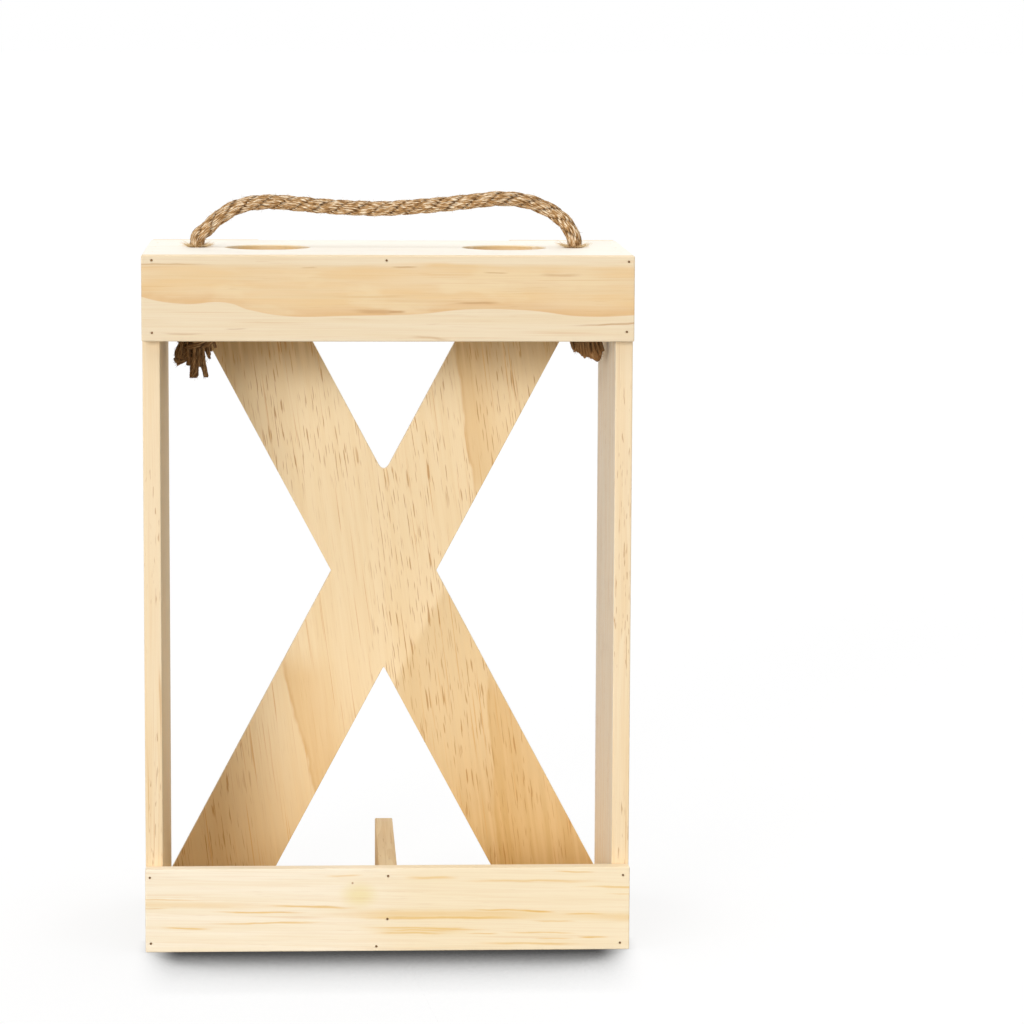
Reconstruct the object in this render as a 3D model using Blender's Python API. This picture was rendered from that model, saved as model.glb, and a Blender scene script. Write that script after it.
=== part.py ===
"""An open pine crate for two wine bottles, with a rope handle.

Metres, +Z up. The crate stands on Z = 0, centred on the origin. The side with the two
nailed rails faces -Y, and the side with the X-shaped brace faces +Y.
"""

import math

import bmesh
import bpy
import numpy as np
from mathutils import Matrix, Vector

# Overall size of the wooden crate
CRATE_WIDTH = 0.210
CRATE_HEIGHT = 0.302
BOARD_DEPTH = 0.105

# Stock that the pieces are sawn from
SIDE_THICKNESS = 0.0075
TOP_THICKNESS = 0.0075
BASE_THICKNESS = 0.0075
RAIL_THICKNESS = 0.0070
RAIL_HEIGHT = 0.0366
DIVIDER_THICKNESS = 0.0080
DIVIDER_DROP = 0.0006
BRACE_THICKNESS = 0.0040
JOINT_GAP = 0.0003
BOARD_EDGE = 0.0005
CUT_OVERRUN = 0.002

# X brace: arms cut from one plywood panel
BRACE_SIDE_MARGIN = 0.0007
BRACE_ARM_WIDTH = 0.0475
BRACE_WAIST_HALF = 0.0240
BRACE_VEE_CORNER = 0.0443
BRACE_TOP_VEE_RADIUS = 0.0026
BRACE_FOOT_VEE_RADIUS = 0.0005
BRACE_NOTCH_RADIUS = 0.0006
BRACE_EDGE = 0.0003

# Holes in the top board, and how far their middles are from the side boards' inner faces
BOTTLE_HOLE_DIAMETER = 0.0370
BOTTLE_HOLE_FROM_SIDE = 0.0455
ROPE_HOLE_FROM_SIDE = 0.0148
ROPE_HOLE_CLEARANCE = 0.0009

# Rope handle
ROPE_DIAMETER = 0.0062
ROPE_RISE = 0.0180
SWING_GAP = 0.0005
ROPE_GAP = 0.0003
KNOT_GAP = 0.0006
LEFT_KNOT_DROP = 0.0260
RIGHT_KNOT_DROP = 0.0220
LEFT_KNOT_TURN = math.radians(0)
RIGHT_KNOT_TURN = math.radians(150)

# Brads: fine wire nails with hardly any head
NAIL_DIAMETER = 0.0007
NAIL_HEAD_DIAMETER = 0.0009
NAIL_HEAD_THICKNESS = 0.0005
NAIL_SINK = 0.0002
NAIL_POINT = 0.0012
NAIL_LENGTH = 0.0200
BRACE_NAIL_LENGTH = 0.0160
NAIL_CLEARANCE = 0.00015

# How finely round shapes are faceted
HOLE_SIDES = 48
ROPE_HOLE_SIDES = 24
NAIL_SIDES = 8
EDGE_SEGMENTS = 2
CORNER_SEGMENTS = 5
ROPE_BEVEL_RESOLUTION = 2
STRAND_BEVEL_RESOLUTION = 1

# Planes that the pieces share
HALF_WIDTH = CRATE_WIDTH / 2
TOTAL_DEPTH = RAIL_THICKNESS + JOINT_GAP + BOARD_DEPTH + JOINT_GAP + BRACE_THICKNESS
FRONT_Y = -TOTAL_DEPTH / 2
BOARD_FRONT_Y = FRONT_Y + RAIL_THICKNESS + JOINT_GAP
BOARD_BACK_Y = BOARD_FRONT_Y + BOARD_DEPTH
BRACE_FRONT_Y = BOARD_BACK_Y + JOINT_GAP
BACK_Y = BRACE_FRONT_Y + BRACE_THICKNESS
MIDDLE_Y = (BOARD_FRONT_Y + BOARD_BACK_Y) / 2
SIDE_INNER_X = HALF_WIDTH - SIDE_THICKNESS
TOP_UNDERSIDE_Z = CRATE_HEIGHT - TOP_THICKNESS
SIDE_TOP_Z = TOP_UNDERSIDE_Z - JOINT_GAP
BOTTLE_HOLE_X = SIDE_INNER_X - BOTTLE_HOLE_FROM_SIDE
ROPE_HOLE_X = SIDE_INNER_X - ROPE_HOLE_FROM_SIDE
ROPE_RADIUS = ROPE_DIAMETER / 2
SWING_Z = CRATE_HEIGHT + SWING_GAP + ROPE_RADIUS

# The rope's arch, seen from the front: shares of the rope hole's distance from the middle, and of the rise
ARCH_SHARES = (
    (-1.000, 0.000),
    (-0.958, 0.211),
    (-0.897, 0.478),
    (-0.815, 0.722),
    (-0.719, 0.861),
    (-0.611, 0.900),
    (-0.496, 0.867),
    (-0.363, 0.811),
    (-0.193, 0.761),
    (-0.012, 0.744),
    (0.157, 0.794),
    (0.314, 0.856),
    (0.459, 0.928),
    (0.580, 0.989),
    (0.677, 0.978),
    (0.775, 0.894),
    (0.883, 0.672),
    (0.958, 0.378),
    (1.000, 0.000),
)

# Where the cut strands end under each knot, from the knot's centre, and how thick they are: shares of the
# rope's diameter
LEFT_STRAND_SHARES = (
    (-1.62, -0.35, -2.72, 0.58),
    (-0.38, 0.00, -3.95, 0.64),
    (0.52, 0.25, -3.92, 0.40),
)
RIGHT_STRAND_SHARES = (
    (0.30, -0.10, -2.70, 0.60),
    (1.08, -0.62, -2.98, 0.70),
    (1.90, -1.45, -3.12, 0.66),
)

# An overhand knot before it is pulled tight, and the rope that leads into and out of it: shares of the
# rope's diameter
KNOT_WINDING_SHARE = 0.62
KNOT_HALF_HEIGHT_SHARE = 1.9
KNOT_LOOP_HALF_HEIGHT_SHARE = 2.185
KNOT_LOOP_SHARE = 1.75
KNOT_LEAD_SHARE = 0.45
KNOT_REACH_SHARE = 3.0
KNOT_TAIL_SHARE = 1.85

# How the knot is pulled tight: points on the rope, rounds of shortening, passes that settle it in each
# round, and what each pass evens out of a stretched step, a kink or two rope passes that are too near
KNOT_POINTS = 60
TIGHTENING_ROUNDS = 700
SETTLING_PASSES = 6
STRETCH_SHARE = 0.25
KINK_SHARE = 0.06
PUSH_SHARE = 0.28
SHORTENING_SHARE = 0.9975
MOST_STRETCH_SHARE = 1.012

# Where a cut strand starts inside the rope's end, and where it bends away: shares of the rope's diameter,
# sideways and up
STRAND_START_SHARES = (0.10, 0.50)
STRAND_BEND_SHARES = (0.22, -0.25)

# Brads in the rails: left, right or middle, then the share of the side board's thickness from its outer
# face, or of the divider's thickness from its middle, and the share of the rail's height
TOP_RAIL_NAIL_SHARES = (
    (-1, 0.59, 0.943),
    (-1, 0.59, 0.100),
    (1, 0.34, 0.934),
    (1, 0.43, 0.115),
    (0, -0.11, 0.945),
)
BOTTOM_RAIL_NAIL_SHARES = (
    (-1, 0.27, 0.900),
    (-1, 0.31, 0.107),
    (1, 0.39, 0.900),
    (1, 0.54, 0.080),
    (0, 0.00, 0.905),
    (0, -0.04, 0.386),
    (0, -0.64, 0.055),
)

# Brads at the top of the brace: side, share of the arm's width from the crate's side, and share of the top
# board's thickness from its upper face
BRACE_TOP_NAIL_SHARES = ((-1, 0.09, 0.38), (-1, 0.90, 0.32), (1, 0.96, 0.44), (1, 0.22, 0.50))

# Brads at its foot: the board behind, side, and share of the base board's thickness from its underside. The
# share before that is of the side board's thickness from its outer face, or, over the base board, of the
# arm's width from the side board's inner face
BRACE_FOOT_NAIL_SHARES = (
    ("left_side_board", -1, 0.82, 0.62),
    ("base_board", -1, 0.88, 0.36),
    ("base_board", 1, 1.00, 0.46),
    ("base_board", 1, 0.06, 0.52),
)

# Brads through the top and into the base: shares of the boards' depth, from their middle
BOARD_NAIL_SHARES = (-0.30, 0.01, 0.30)
DIVIDER_NAIL_SHARES = (-0.25, 0.25)


def clear_scene():
    for obj in list(bpy.data.objects):
        bpy.data.objects.remove(obj, do_unlink=True)


def finish_with(obj, colour, roughness, metallic=0.0):
    """Gives the object a Principled BSDF material of its own."""
    material = bpy.data.materials.new(obj.name + "_finish")
    material.use_nodes = True
    shader = material.node_tree.nodes["Principled BSDF"]
    shader.inputs["Base Color"].default_value = (*colour, 1.0)
    shader.inputs["Roughness"].default_value = roughness
    shader.inputs["Metallic"].default_value = metallic
    obj.data.materials.clear()
    obj.data.materials.append(material)


def pine(obj):
    finish_with(obj, (0.85, 0.69, 0.47), 0.55)


def plywood(obj):
    finish_with(obj, (0.80, 0.62, 0.39), 0.60)


def jute(obj):
    finish_with(obj, (0.45, 0.30, 0.16), 0.90)


def wire(obj):
    finish_with(obj, (0.30, 0.27, 0.24), 0.45, 1.0)


def object_of(name, bm):
    """Links a new mesh object that holds this bmesh."""
    bmesh.ops.recalc_face_normals(bm, faces=bm.faces)
    mesh = bpy.data.meshes.new(name)
    bm.to_mesh(mesh)
    bm.free()
    obj = bpy.data.objects.new(name, mesh)
    bpy.context.scene.collection.objects.link(obj)
    return obj


def as_cutter(obj):
    obj.hide_render = True
    obj.display_type = "WIRE"
    return obj


def cut(obj, cutter):
    modifier = obj.modifiers.new(cutter.name, "BOOLEAN")
    modifier.operation = "DIFFERENCE"
    modifier.solver = "EXACT"
    modifier.object = cutter


def fuse(obj, other):
    """Joins two round tubes into one body.

    The exact solver loses the longer tube at some turns of the knot, so this is the manifold solver.
    """
    modifier = obj.modifiers.new(other.name, "BOOLEAN")
    modifier.operation = "UNION"
    modifier.solver = "MANIFOLD"
    modifier.object = other


def ease_edges(obj, width):
    """Takes the sharp edge off, as sandpaper does."""
    modifier = obj.modifiers.new("eased_edges", "BEVEL")
    modifier.width = width
    modifier.segments = EDGE_SEGMENTS
    modifier.limit_method = "ANGLE"
    modifier.angle_limit = math.radians(40)


def board(name, low, high):
    """A straight board between two opposite corners."""
    bm = bmesh.new()
    bmesh.ops.create_cube(bm, size=1.0)
    low, high = Vector(low), Vector(high)
    bmesh.ops.scale(bm, vec=high - low, verts=bm.verts)
    bmesh.ops.translate(bm, vec=(low + high) / 2, verts=bm.verts)
    obj = object_of(name, bm)
    pine(obj)
    return obj


def hole_cutter(name, holes):
    """Upright cylinders through the top board, one for each (x, diameter, sides)."""
    bm = bmesh.new()
    for x, diameter, sides in holes:
        place = Matrix.Translation((x, MIDDLE_Y, CRATE_HEIGHT - TOP_THICKNESS / 2))
        bmesh.ops.create_cone(
            bm,
            cap_ends=True,
            segments=sides,
            radius1=diameter / 2,
            radius2=diameter / 2,
            depth=TOP_THICKNESS + 2 * CUT_OVERRUN,
            matrix=place,
        )
    return as_cutter(object_of(name, bm))


def top_board():
    obj = board(
        "top_board",
        (-HALF_WIDTH, BOARD_FRONT_Y, TOP_UNDERSIDE_Z),
        (HALF_WIDTH, BOARD_BACK_Y, CRATE_HEIGHT),
    )
    rope_hole = ROPE_DIAMETER + 2 * ROPE_HOLE_CLEARANCE
    holes = []
    for side in (-1, 1):
        holes.append((side * BOTTLE_HOLE_X, BOTTLE_HOLE_DIAMETER, HOLE_SIDES))
        holes.append((side * ROPE_HOLE_X, rope_hole, ROPE_HOLE_SIDES))
    cut(obj, hole_cutter("top_board_holes", holes))
    ease_edges(obj, BOARD_EDGE)
    return obj


def x_brace():
    """One panel with four corners cut out of it, which leaves two crossed arms in one piece."""
    half, middle = HALF_WIDTH - BRACE_SIDE_MARGIN, CRATE_HEIGHT / 2
    arm = half - BRACE_ARM_WIDTH
    upper = [(half, middle), (arm, middle), (0.0, BRACE_VEE_CORNER), (-arm, middle), (-half, middle)]
    lower = [(-x, -z) for x, z in upper]
    outline = upper + [(-BRACE_WAIST_HALF, 0.0)] + lower + [(BRACE_WAIST_HALF, 0.0)]
    bm = bmesh.new()
    corners = [bm.verts.new((x, BRACE_FRONT_Y, middle + z)) for x, z in outline]
    bm.faces.new(corners)
    vee_angle = math.atan2(arm, middle - BRACE_VEE_CORNER)
    notch_angle = math.atan2(middle, half - BRACE_WAIST_HALF)
    for corner, (x, z) in zip(corners, outline):
        if x == 0.0:
            offset = (BRACE_TOP_VEE_RADIUS if z > 0.0 else BRACE_FOOT_VEE_RADIUS) / math.tan(vee_angle)
        elif abs(x) == BRACE_WAIST_HALF:
            offset = BRACE_NOTCH_RADIUS / math.tan(notch_angle)
        else:
            continue
        bmesh.ops.bevel(
            bm,
            geom=[corner],
            offset=offset,
            offset_type="OFFSET",
            affect="VERTICES",
            segments=CORNER_SEGMENTS,
            profile=0.5,
            material=-1,
        )
    extruded = bmesh.ops.extrude_face_region(bm, geom=list(bm.faces))
    moved = [item for item in extruded["geom"] if isinstance(item, bmesh.types.BMVert)]
    bmesh.ops.translate(bm, vec=(0.0, BRACE_THICKNESS, 0.0), verts=moved)
    obj = object_of("x_brace", bm)
    plywood(obj)
    ease_edges(obj, BRACE_EDGE)
    return obj


def boards():
    """Every wooden piece by name."""
    pieces = {"top_board": top_board(), "x_brace": x_brace()}
    base_half, divider_half = SIDE_INNER_X - JOINT_GAP, DIVIDER_THICKNESS / 2
    depth, rail_depth = (BOARD_FRONT_Y, BOARD_BACK_Y), (FRONT_Y, FRONT_Y + RAIL_THICKNESS)
    spans = {
        "base_board": ((-base_half, base_half), depth, (0.0, BASE_THICKNESS)),
        "left_side_board": ((-HALF_WIDTH, -SIDE_INNER_X), depth, (0.0, SIDE_TOP_Z)),
        "right_side_board": ((SIDE_INNER_X, HALF_WIDTH), depth, (0.0, SIDE_TOP_Z)),
        "top_rail": ((-HALF_WIDTH, HALF_WIDTH), rail_depth, (CRATE_HEIGHT - RAIL_HEIGHT, CRATE_HEIGHT)),
        "bottom_rail": ((-HALF_WIDTH, HALF_WIDTH), rail_depth, (0.0, RAIL_HEIGHT)),
        "divider": (
            (-divider_half, divider_half),
            depth,
            (BASE_THICKNESS + JOINT_GAP, RAIL_HEIGHT - DIVIDER_DROP),
        ),
    }
    for name, span in spans.items():
        low, high = zip(*span)
        pieces[name] = board(name, low, high)
        ease_edges(pieces[name], BOARD_EDGE)
    return pieces


def turned(profile):
    """A closed shape turned about Z from a (radius, depth) profile that starts and ends on the axis."""
    bm = bmesh.new()
    points = [bm.verts.new((radius, 0.0, -depth)) for radius, depth in profile]
    edges = [bm.edges.new(pair) for pair in zip(points, points[1:])]
    bmesh.ops.spin(
        bm,
        geom=points + edges,
        cent=(0.0, 0.0, 0.0),
        axis=(0.0, 0.0, 1.0),
        angle=2 * math.pi,
        steps=NAIL_SIDES,
        use_merge=True,
    )
    bmesh.ops.remove_doubles(bm, verts=bm.verts, dist=NAIL_DIAMETER / 1000)
    return bm


def add_shape(bm, shape, place):
    """Adds a copy of the turned shape to bm, moved by place."""
    mesh = bpy.data.meshes.new("turned_shape")
    shape.to_mesh(mesh)
    shape.free()
    mesh.transform(place)
    bm.from_mesh(mesh)
    bpy.data.meshes.remove(mesh)


def nail_profile(length, grow=0.0, overrun=0.0):
    """A brad's outline, from its head down, or the outline of the bore it lies in."""
    head = NAIL_HEAD_DIAMETER / 2 + grow
    shank = NAIL_DIAMETER / 2 + grow
    neck = NAIL_SINK + NAIL_HEAD_THICKNESS + grow
    top = NAIL_SINK - overrun
    shoulder = length - NAIL_POINT
    return ((0.0, top), (head, top), (head, neck), (shank, neck), (shank, shoulder), (0.0, length + grow))


def nail_places():
    """(name, head's place on the outer face, direction of the point, length, boards that it joins)"""
    places = []
    forward, back, down, up = Vector((0, 1, 0)), Vector((0, -1, 0)), Vector((0, 0, -1)), Vector((0, 0, 1))
    rails = (
        ("top_rail", TOP_RAIL_NAIL_SHARES, CRATE_HEIGHT - RAIL_HEIGHT),
        ("bottom_rail", BOTTOM_RAIL_NAIL_SHARES, 0.0),
    )
    sides = {-1: "left_side_board", 1: "right_side_board"}
    for rail, shares, rail_foot in rails:
        for count, (side, across, height) in enumerate(shares, 1):
            x = side * (HALF_WIDTH - across * SIDE_THICKNESS) if side else across * DIVIDER_THICKNESS
            head = Vector((x, FRONT_Y, rail_foot + height * RAIL_HEIGHT))
            behind = sides.get(side, "divider")
            if head.z > TOP_UNDERSIDE_Z:
                behind = "top_board"
            elif not side and head.z < BASE_THICKNESS:
                behind = "base_board"
            places.append((f"{rail}_nail_{count}", head, forward, NAIL_LENGTH, (rail, behind)))
    for count, (side, across, depth) in enumerate(BRACE_TOP_NAIL_SHARES, 1):
        x = side * (HALF_WIDTH - across * BRACE_ARM_WIDTH)
        head = Vector((x, BACK_Y, CRATE_HEIGHT - depth * TOP_THICKNESS))
        joined = ("x_brace", "top_board")
        places.append((f"brace_top_nail_{count}", head, back, BRACE_NAIL_LENGTH, joined))
    for count, (behind, side, across, height) in enumerate(BRACE_FOOT_NAIL_SHARES, 1):
        if behind == "base_board":
            x = side * (SIDE_INNER_X - across * (BRACE_ARM_WIDTH - SIDE_THICKNESS))
        else:
            x = side * (HALF_WIDTH - across * SIDE_THICKNESS)
        head = Vector((x, BACK_Y, height * BASE_THICKNESS))
        places.append((f"brace_foot_nail_{count}", head, back, BRACE_NAIL_LENGTH, ("x_brace", behind)))
    for side, side_board in sides.items():
        word = side_board.split("_")[0]
        for count, share in enumerate(BOARD_NAIL_SHARES, 1):
            y = MIDDLE_Y + share * BOARD_DEPTH
            head = Vector((side * (HALF_WIDTH - SIDE_THICKNESS / 2), y, CRATE_HEIGHT))
            joined = ("top_board", side_board)
            places.append((f"top_board_nail_{word}_{count}", head, down, NAIL_LENGTH, joined))
            head = Vector((side * HALF_WIDTH, y, BASE_THICKNESS / 2))
            inward, joined = Vector((-side, 0, 0)), (side_board, "base_board")
            places.append((f"base_board_nail_{word}_{count}", head, inward, NAIL_LENGTH, joined))
    for count, share in enumerate(DIVIDER_NAIL_SHARES, 1):
        head = Vector((0, MIDDLE_Y + share * BOARD_DEPTH, 0))
        places.append((f"divider_nail_{count}", head, up, NAIL_LENGTH, ("base_board", "divider")))
    return places


def frame_at(head, direction):
    """The matrix that stands a brad on its head's place with its point towards direction."""
    turn = (-direction).to_track_quat("Z", "Y").to_matrix().to_4x4()
    return Matrix.Translation(head) @ turn


def nails(pieces):
    """Makes each brad, and bores the boards that it joins."""
    bores = {}
    for name, head, direction, length, joined in nail_places():
        place = frame_at(head, direction)
        obj = object_of(name, turned(nail_profile(length)))
        obj.matrix_world = place
        wire(obj)
        for piece in joined:
            if piece not in bores:
                bores[piece] = bmesh.new()
            add_shape(bores[piece], turned(nail_profile(length, NAIL_CLEARANCE, CUT_OVERRUN)), place)
    for piece, bm in bores.items():
        cut(pieces[piece], as_cutter(object_of(piece + "_bores", bm)))


def smooth_route(points, per_span):
    """A smooth curve through the points (a Catmull-Rom spline), with per_span steps between each two."""
    points = np.array(points, float)
    ends = (2 * points[:1] - points[1:2], points, 2 * points[-1:] - points[-2:-1])
    padded = np.concatenate(ends)
    route = []
    for before, start, end, after in zip(padded, padded[1:], padded[2:], padded[3:]):
        for step in range(per_span):
            t = step / per_span
            route.append(
                0.5
                * (
                    2 * start
                    + (end - before) * t
                    + (2 * before - 5 * start + 4 * end - after) * t * t
                    + (3 * start - before - 3 * end + after) * t * t * t
                )
            )
    route.append(points[-1])
    return np.array(route)


def steps_of(path):
    return np.sqrt((np.diff(path, axis=0) ** 2).sum(axis=1))


def length_of(path):
    return steps_of(path).sum()


def spaced_evenly(path, count):
    along = np.concatenate(([0.0], np.cumsum(steps_of(path))))
    wanted = np.linspace(0.0, along[-1], count)
    return np.stack([np.interp(wanted, along, path[:, axis]) for axis in range(3)], axis=1), along[-1]


def overhand_knot(rope, gap):
    """The centre line of an overhand knot on an upright rope, top to bottom, pulled tight.

    It starts loose: the rope winds three half turns round itself, and a loop leads from the foot of the
    winding back to its head. The rope is then shortened between two fixed ends, while passes that come
    nearer than a rope's diameter and the gap push each other apart.
    """
    winding, half_height = KNOT_WINDING_SHARE * rope, KNOT_HALF_HEIGHT_SHARE * rope
    lead, reach = KNOT_LEAD_SHARE * rope, KNOT_REACH_SHARE * rope
    clear = rope + gap
    turn = np.linspace(0.0, 1.0, KNOT_POINTS)

    def half_turns(start):
        angle = start + 3 * math.pi * turn
        height = half_height * (1 - 2 * turn)
        return np.stack((winding * np.cos(angle), winding * np.sin(angle), height), axis=1)

    loop = math.pi * turn[1:-1]
    bulge = winding + KNOT_LOOP_SHARE * rope * np.sin(loop)
    back = np.stack((bulge, 0 * loop, -KNOT_LOOP_HALF_HEIGHT_SHARE * rope * np.cos(loop)), axis=1)
    ends = np.array([[lead, 0.0, reach], [lead, 0.0, -reach]])
    loose = np.concatenate((ends[:1], half_turns(math.pi), back, half_turns(0.0), ends[1:]))
    path, length = spaced_evenly(loose, KNOT_POINTS)
    first, second = np.triu_indices(KNOT_POINTS, 1)
    for _ in range(TIGHTENING_ROUNDS):
        step = length / (KNOT_POINTS - 1)
        apart = math.ceil(math.pi / 2 * clear / step)
        far = second - first >= apart
        a, b = first[far], second[far]
        for _ in range(SETTLING_PASSES):
            link = path[1:] - path[:-1]
            size = np.sqrt((link**2).sum(axis=1))
            pull = (STRETCH_SHARE * (size - step) / size)[:, None] * link
            path[:-1] += pull
            path[1:] -= pull
            path[1:-1] += KINK_SHARE * ((path[:-2] + path[2:]) / 2 - path[1:-1])
            between = path[b] - path[a]
            size = np.sqrt((between**2).sum(axis=1))
            close = size < clear
            push = (PUSH_SHARE * (clear - size[close]) / size[close])[:, None] * between[close]
            np.subtract.at(path, a[close], push)
            np.add.at(path, b[close], push)
            path[0], path[-1] = ends
        if length_of(path) < MOST_STRETCH_SHARE * length:
            length *= SHORTENING_SHARE
    between = path[b] - path[a]
    least = np.sqrt((between**2).sum(axis=1)).min() - rope
    print(f"overhand knot: least gap between its passes {1000 * least:.2f} mm")
    return path - (lead, 0.0, 0.0)


def tube(name, route, radii, resolution):
    """A round tube along the route, as a curve object. radii is one radius, or one for each point."""
    curve = bpy.data.curves.new(name, "CURVE")
    curve.dimensions = "3D"
    curve.bevel_depth = 1.0
    curve.bevel_resolution = resolution
    curve.use_fill_caps = True
    spline = curve.splines.new("POLY")
    spline.points.add(len(route) - 1)
    radii = np.broadcast_to(radii, len(route))
    for point, place, radius in zip(spline.points, route, radii):
        point.co = (*place, 1.0)
        point.radius = radius
    obj = bpy.data.objects.new(name, curve)
    bpy.context.scene.collection.objects.link(obj)
    return obj


def as_mesh(obj):
    """The curve object's tube as a closed mesh object, which can be cut and joined."""
    graph = bpy.context.evaluated_depsgraph_get()
    mesh = bpy.data.meshes.new_from_object(obj.evaluated_get(graph), depsgraph=graph)
    name = obj.name
    bpy.data.objects.remove(obj, do_unlink=True)
    bm = bmesh.new()
    bm.from_mesh(mesh)
    bpy.data.meshes.remove(mesh)
    bmesh.ops.remove_doubles(bm, verts=bm.verts, dist=ROPE_DIAMETER / 10000)
    made = object_of(name, bm)
    made.data.shade_smooth()
    return made


def rope_arch():
    """The handle itself. Each end is a dome centred on the swing axis, so it turns on the rope below."""
    shares = np.array(ARCH_SHARES)
    line = np.stack(
        (shares[:, 0] * ROPE_HOLE_X, 0 * shares[:, 0] + MIDDLE_Y, SWING_Z + shares[:, 1] * ROPE_RISE), axis=1
    )
    route = smooth_route(line, 2)
    tilts = np.radians((75, 45, 20))
    domes = []
    for end, inner in ((route[0], route[1]), (route[-1], route[-2])):
        outward = (end - inner) / np.linalg.norm(end - inner)
        domes.append([end + outward * ROPE_RADIUS * math.sin(tilt) for tilt in tilts])
    dome_radii = [ROPE_RADIUS * math.cos(tilt) for tilt in tilts]
    full = np.concatenate((domes[0], route, domes[1][::-1]))
    radii = np.concatenate((dome_radii, np.full(len(route), ROPE_RADIUS), dome_radii[::-1]))
    obj = tube("rope_arch", full, radii, ROPE_BEVEL_RESOLUTION)
    jute(obj)
    print(f"rope arch: {1000 * length_of(route):.0f} mm of rope between the holes")
    return obj


def rope_end(word, side, drop, turn, strand_shares, knot):
    """One end of the rope: through its hole, an overhand knot below, and the cut strands."""
    hole = np.array((side * ROPE_HOLE_X, MIDDLE_Y, 0.0))
    centre = hole + (0.0, 0.0, TOP_UNDERSIDE_Z - drop)
    cosine, sine = math.cos(turn), math.sin(turn)
    turned_knot = np.stack(
        (cosine * knot[:, 0] - sine * knot[:, 1], sine * knot[:, 0] + cosine * knot[:, 1], knot[:, 2]), axis=1
    )
    tail = KNOT_TAIL_SHARE * ROPE_DIAMETER
    kept = turned_knot[turned_knot[:, 2] > -tail] + centre
    head = hole + (0.0, 0.0, CRATE_HEIGHT + SWING_GAP - ROPE_GAP)
    upright = np.linspace(head, kept[0], 4)[:-1]
    foot = centre - (0.0, 0.0, tail)
    route = np.concatenate((upright, kept, [foot]))
    obj = as_mesh(tube(f"rope_end_{word}", route, ROPE_RADIUS, ROPE_BEVEL_RESOLUTION))
    print(f"{obj.name}: {1000 * length_of(route):.0f} mm of rope from the board's top to the cut strands")
    for count, (x, y, z, thickness) in enumerate(strand_shares, 1):
        end = centre + np.array((x, y, z)) * ROPE_DIAMETER
        away = math.atan2(y, x)
        route = [end]
        for sideways, up in (STRAND_BEND_SHARES, STRAND_START_SHARES):
            offset = (sideways * math.cos(away), sideways * math.sin(away), up)
            route.insert(0, foot + np.array(offset) * ROPE_DIAMETER)
        name = f"{obj.name}_strand_{count}"
        strand = tube(name, smooth_route(route, 3), thickness * ROPE_RADIUS, STRAND_BEVEL_RESOLUTION)
        fuse(obj, as_cutter(as_mesh(strand)))
    jute(obj)
    return obj


def main():
    clear_scene()
    pieces = boards()
    nails(pieces)
    rope_arch()
    knot = overhand_knot(ROPE_DIAMETER, KNOT_GAP)
    rope_end("left", -1, LEFT_KNOT_DROP, LEFT_KNOT_TURN, LEFT_STRAND_SHARES, knot)
    rope_end("right", 1, RIGHT_KNOT_DROP, RIGHT_KNOT_TURN, RIGHT_STRAND_SHARES, knot)


main()
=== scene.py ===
# %% [markdown]
# # A pine crate for two wine bottles
#
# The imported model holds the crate's boards, brads and rope at their real size, in metres, standing on Z = 0.
# This lesson dresses it: each finish is made from nodes, and the rope is laid up strand by strand.

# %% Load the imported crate
import math

import bmesh
import bpy
import numpy as np
from mathutils import Matrix, Vector


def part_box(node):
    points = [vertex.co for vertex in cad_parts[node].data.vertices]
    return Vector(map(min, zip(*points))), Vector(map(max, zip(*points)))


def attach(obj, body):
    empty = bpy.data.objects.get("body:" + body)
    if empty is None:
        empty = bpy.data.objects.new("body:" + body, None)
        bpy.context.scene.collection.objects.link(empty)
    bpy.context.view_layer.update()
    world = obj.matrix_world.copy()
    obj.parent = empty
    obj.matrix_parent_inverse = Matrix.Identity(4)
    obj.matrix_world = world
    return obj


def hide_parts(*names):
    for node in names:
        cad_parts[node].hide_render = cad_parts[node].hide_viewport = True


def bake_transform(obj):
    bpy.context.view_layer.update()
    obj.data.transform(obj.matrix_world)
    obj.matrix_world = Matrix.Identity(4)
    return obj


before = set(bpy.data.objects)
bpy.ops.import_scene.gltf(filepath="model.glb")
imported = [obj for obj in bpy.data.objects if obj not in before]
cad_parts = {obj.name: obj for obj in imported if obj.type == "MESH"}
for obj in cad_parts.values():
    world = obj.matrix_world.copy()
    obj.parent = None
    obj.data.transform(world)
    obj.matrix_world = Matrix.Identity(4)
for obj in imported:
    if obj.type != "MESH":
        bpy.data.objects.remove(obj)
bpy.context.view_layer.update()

# %% [markdown]
# ## The camera
#
# The photograph was taken with a long lens from a little above the crate, a few centimetres left of its
# middle. The camera stands where the photograph's own perspective puts it, and looks at the point that lies
# in the middle of the picture.

# %% Camera
CAMERA_PLACE = (-0.0332, -1.7828, 0.4102)
CAMERA_PITCH, CAMERA_YAW, CAMERA_ROLL = (math.radians(angle) for angle in (7.198, 2.861, 0.272))
CAMERA_LENS = 142.57

lens = bpy.data.cameras.new("camera")
lens.lens = CAMERA_LENS
camera = bpy.data.objects.new("camera", lens)
bpy.context.scene.collection.objects.link(camera)
camera.location = CAMERA_PLACE
level = Matrix.Rotation(-CAMERA_YAW, 4, "Z") @ Matrix.Rotation(math.pi / 2 - CAMERA_PITCH, 4, "X")
camera.rotation_euler = (level @ Matrix.Rotation(CAMERA_ROLL, 4, "Z")).to_euler()
bpy.context.scene.camera = camera
print("camera distance", round(-CAMERA_PLACE[1], 3), "m")

# %% [markdown]
# ## Where the rope goes
#
# The handle is one piece of jute rope, 6.2 mm thick. It rises out of a hole in the top board, arches over the
# crate and goes down into the other hole. A knot under the board holds each end. A smooth curve through a few
# measured points gives its middle line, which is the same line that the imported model's rope follows.

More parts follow.
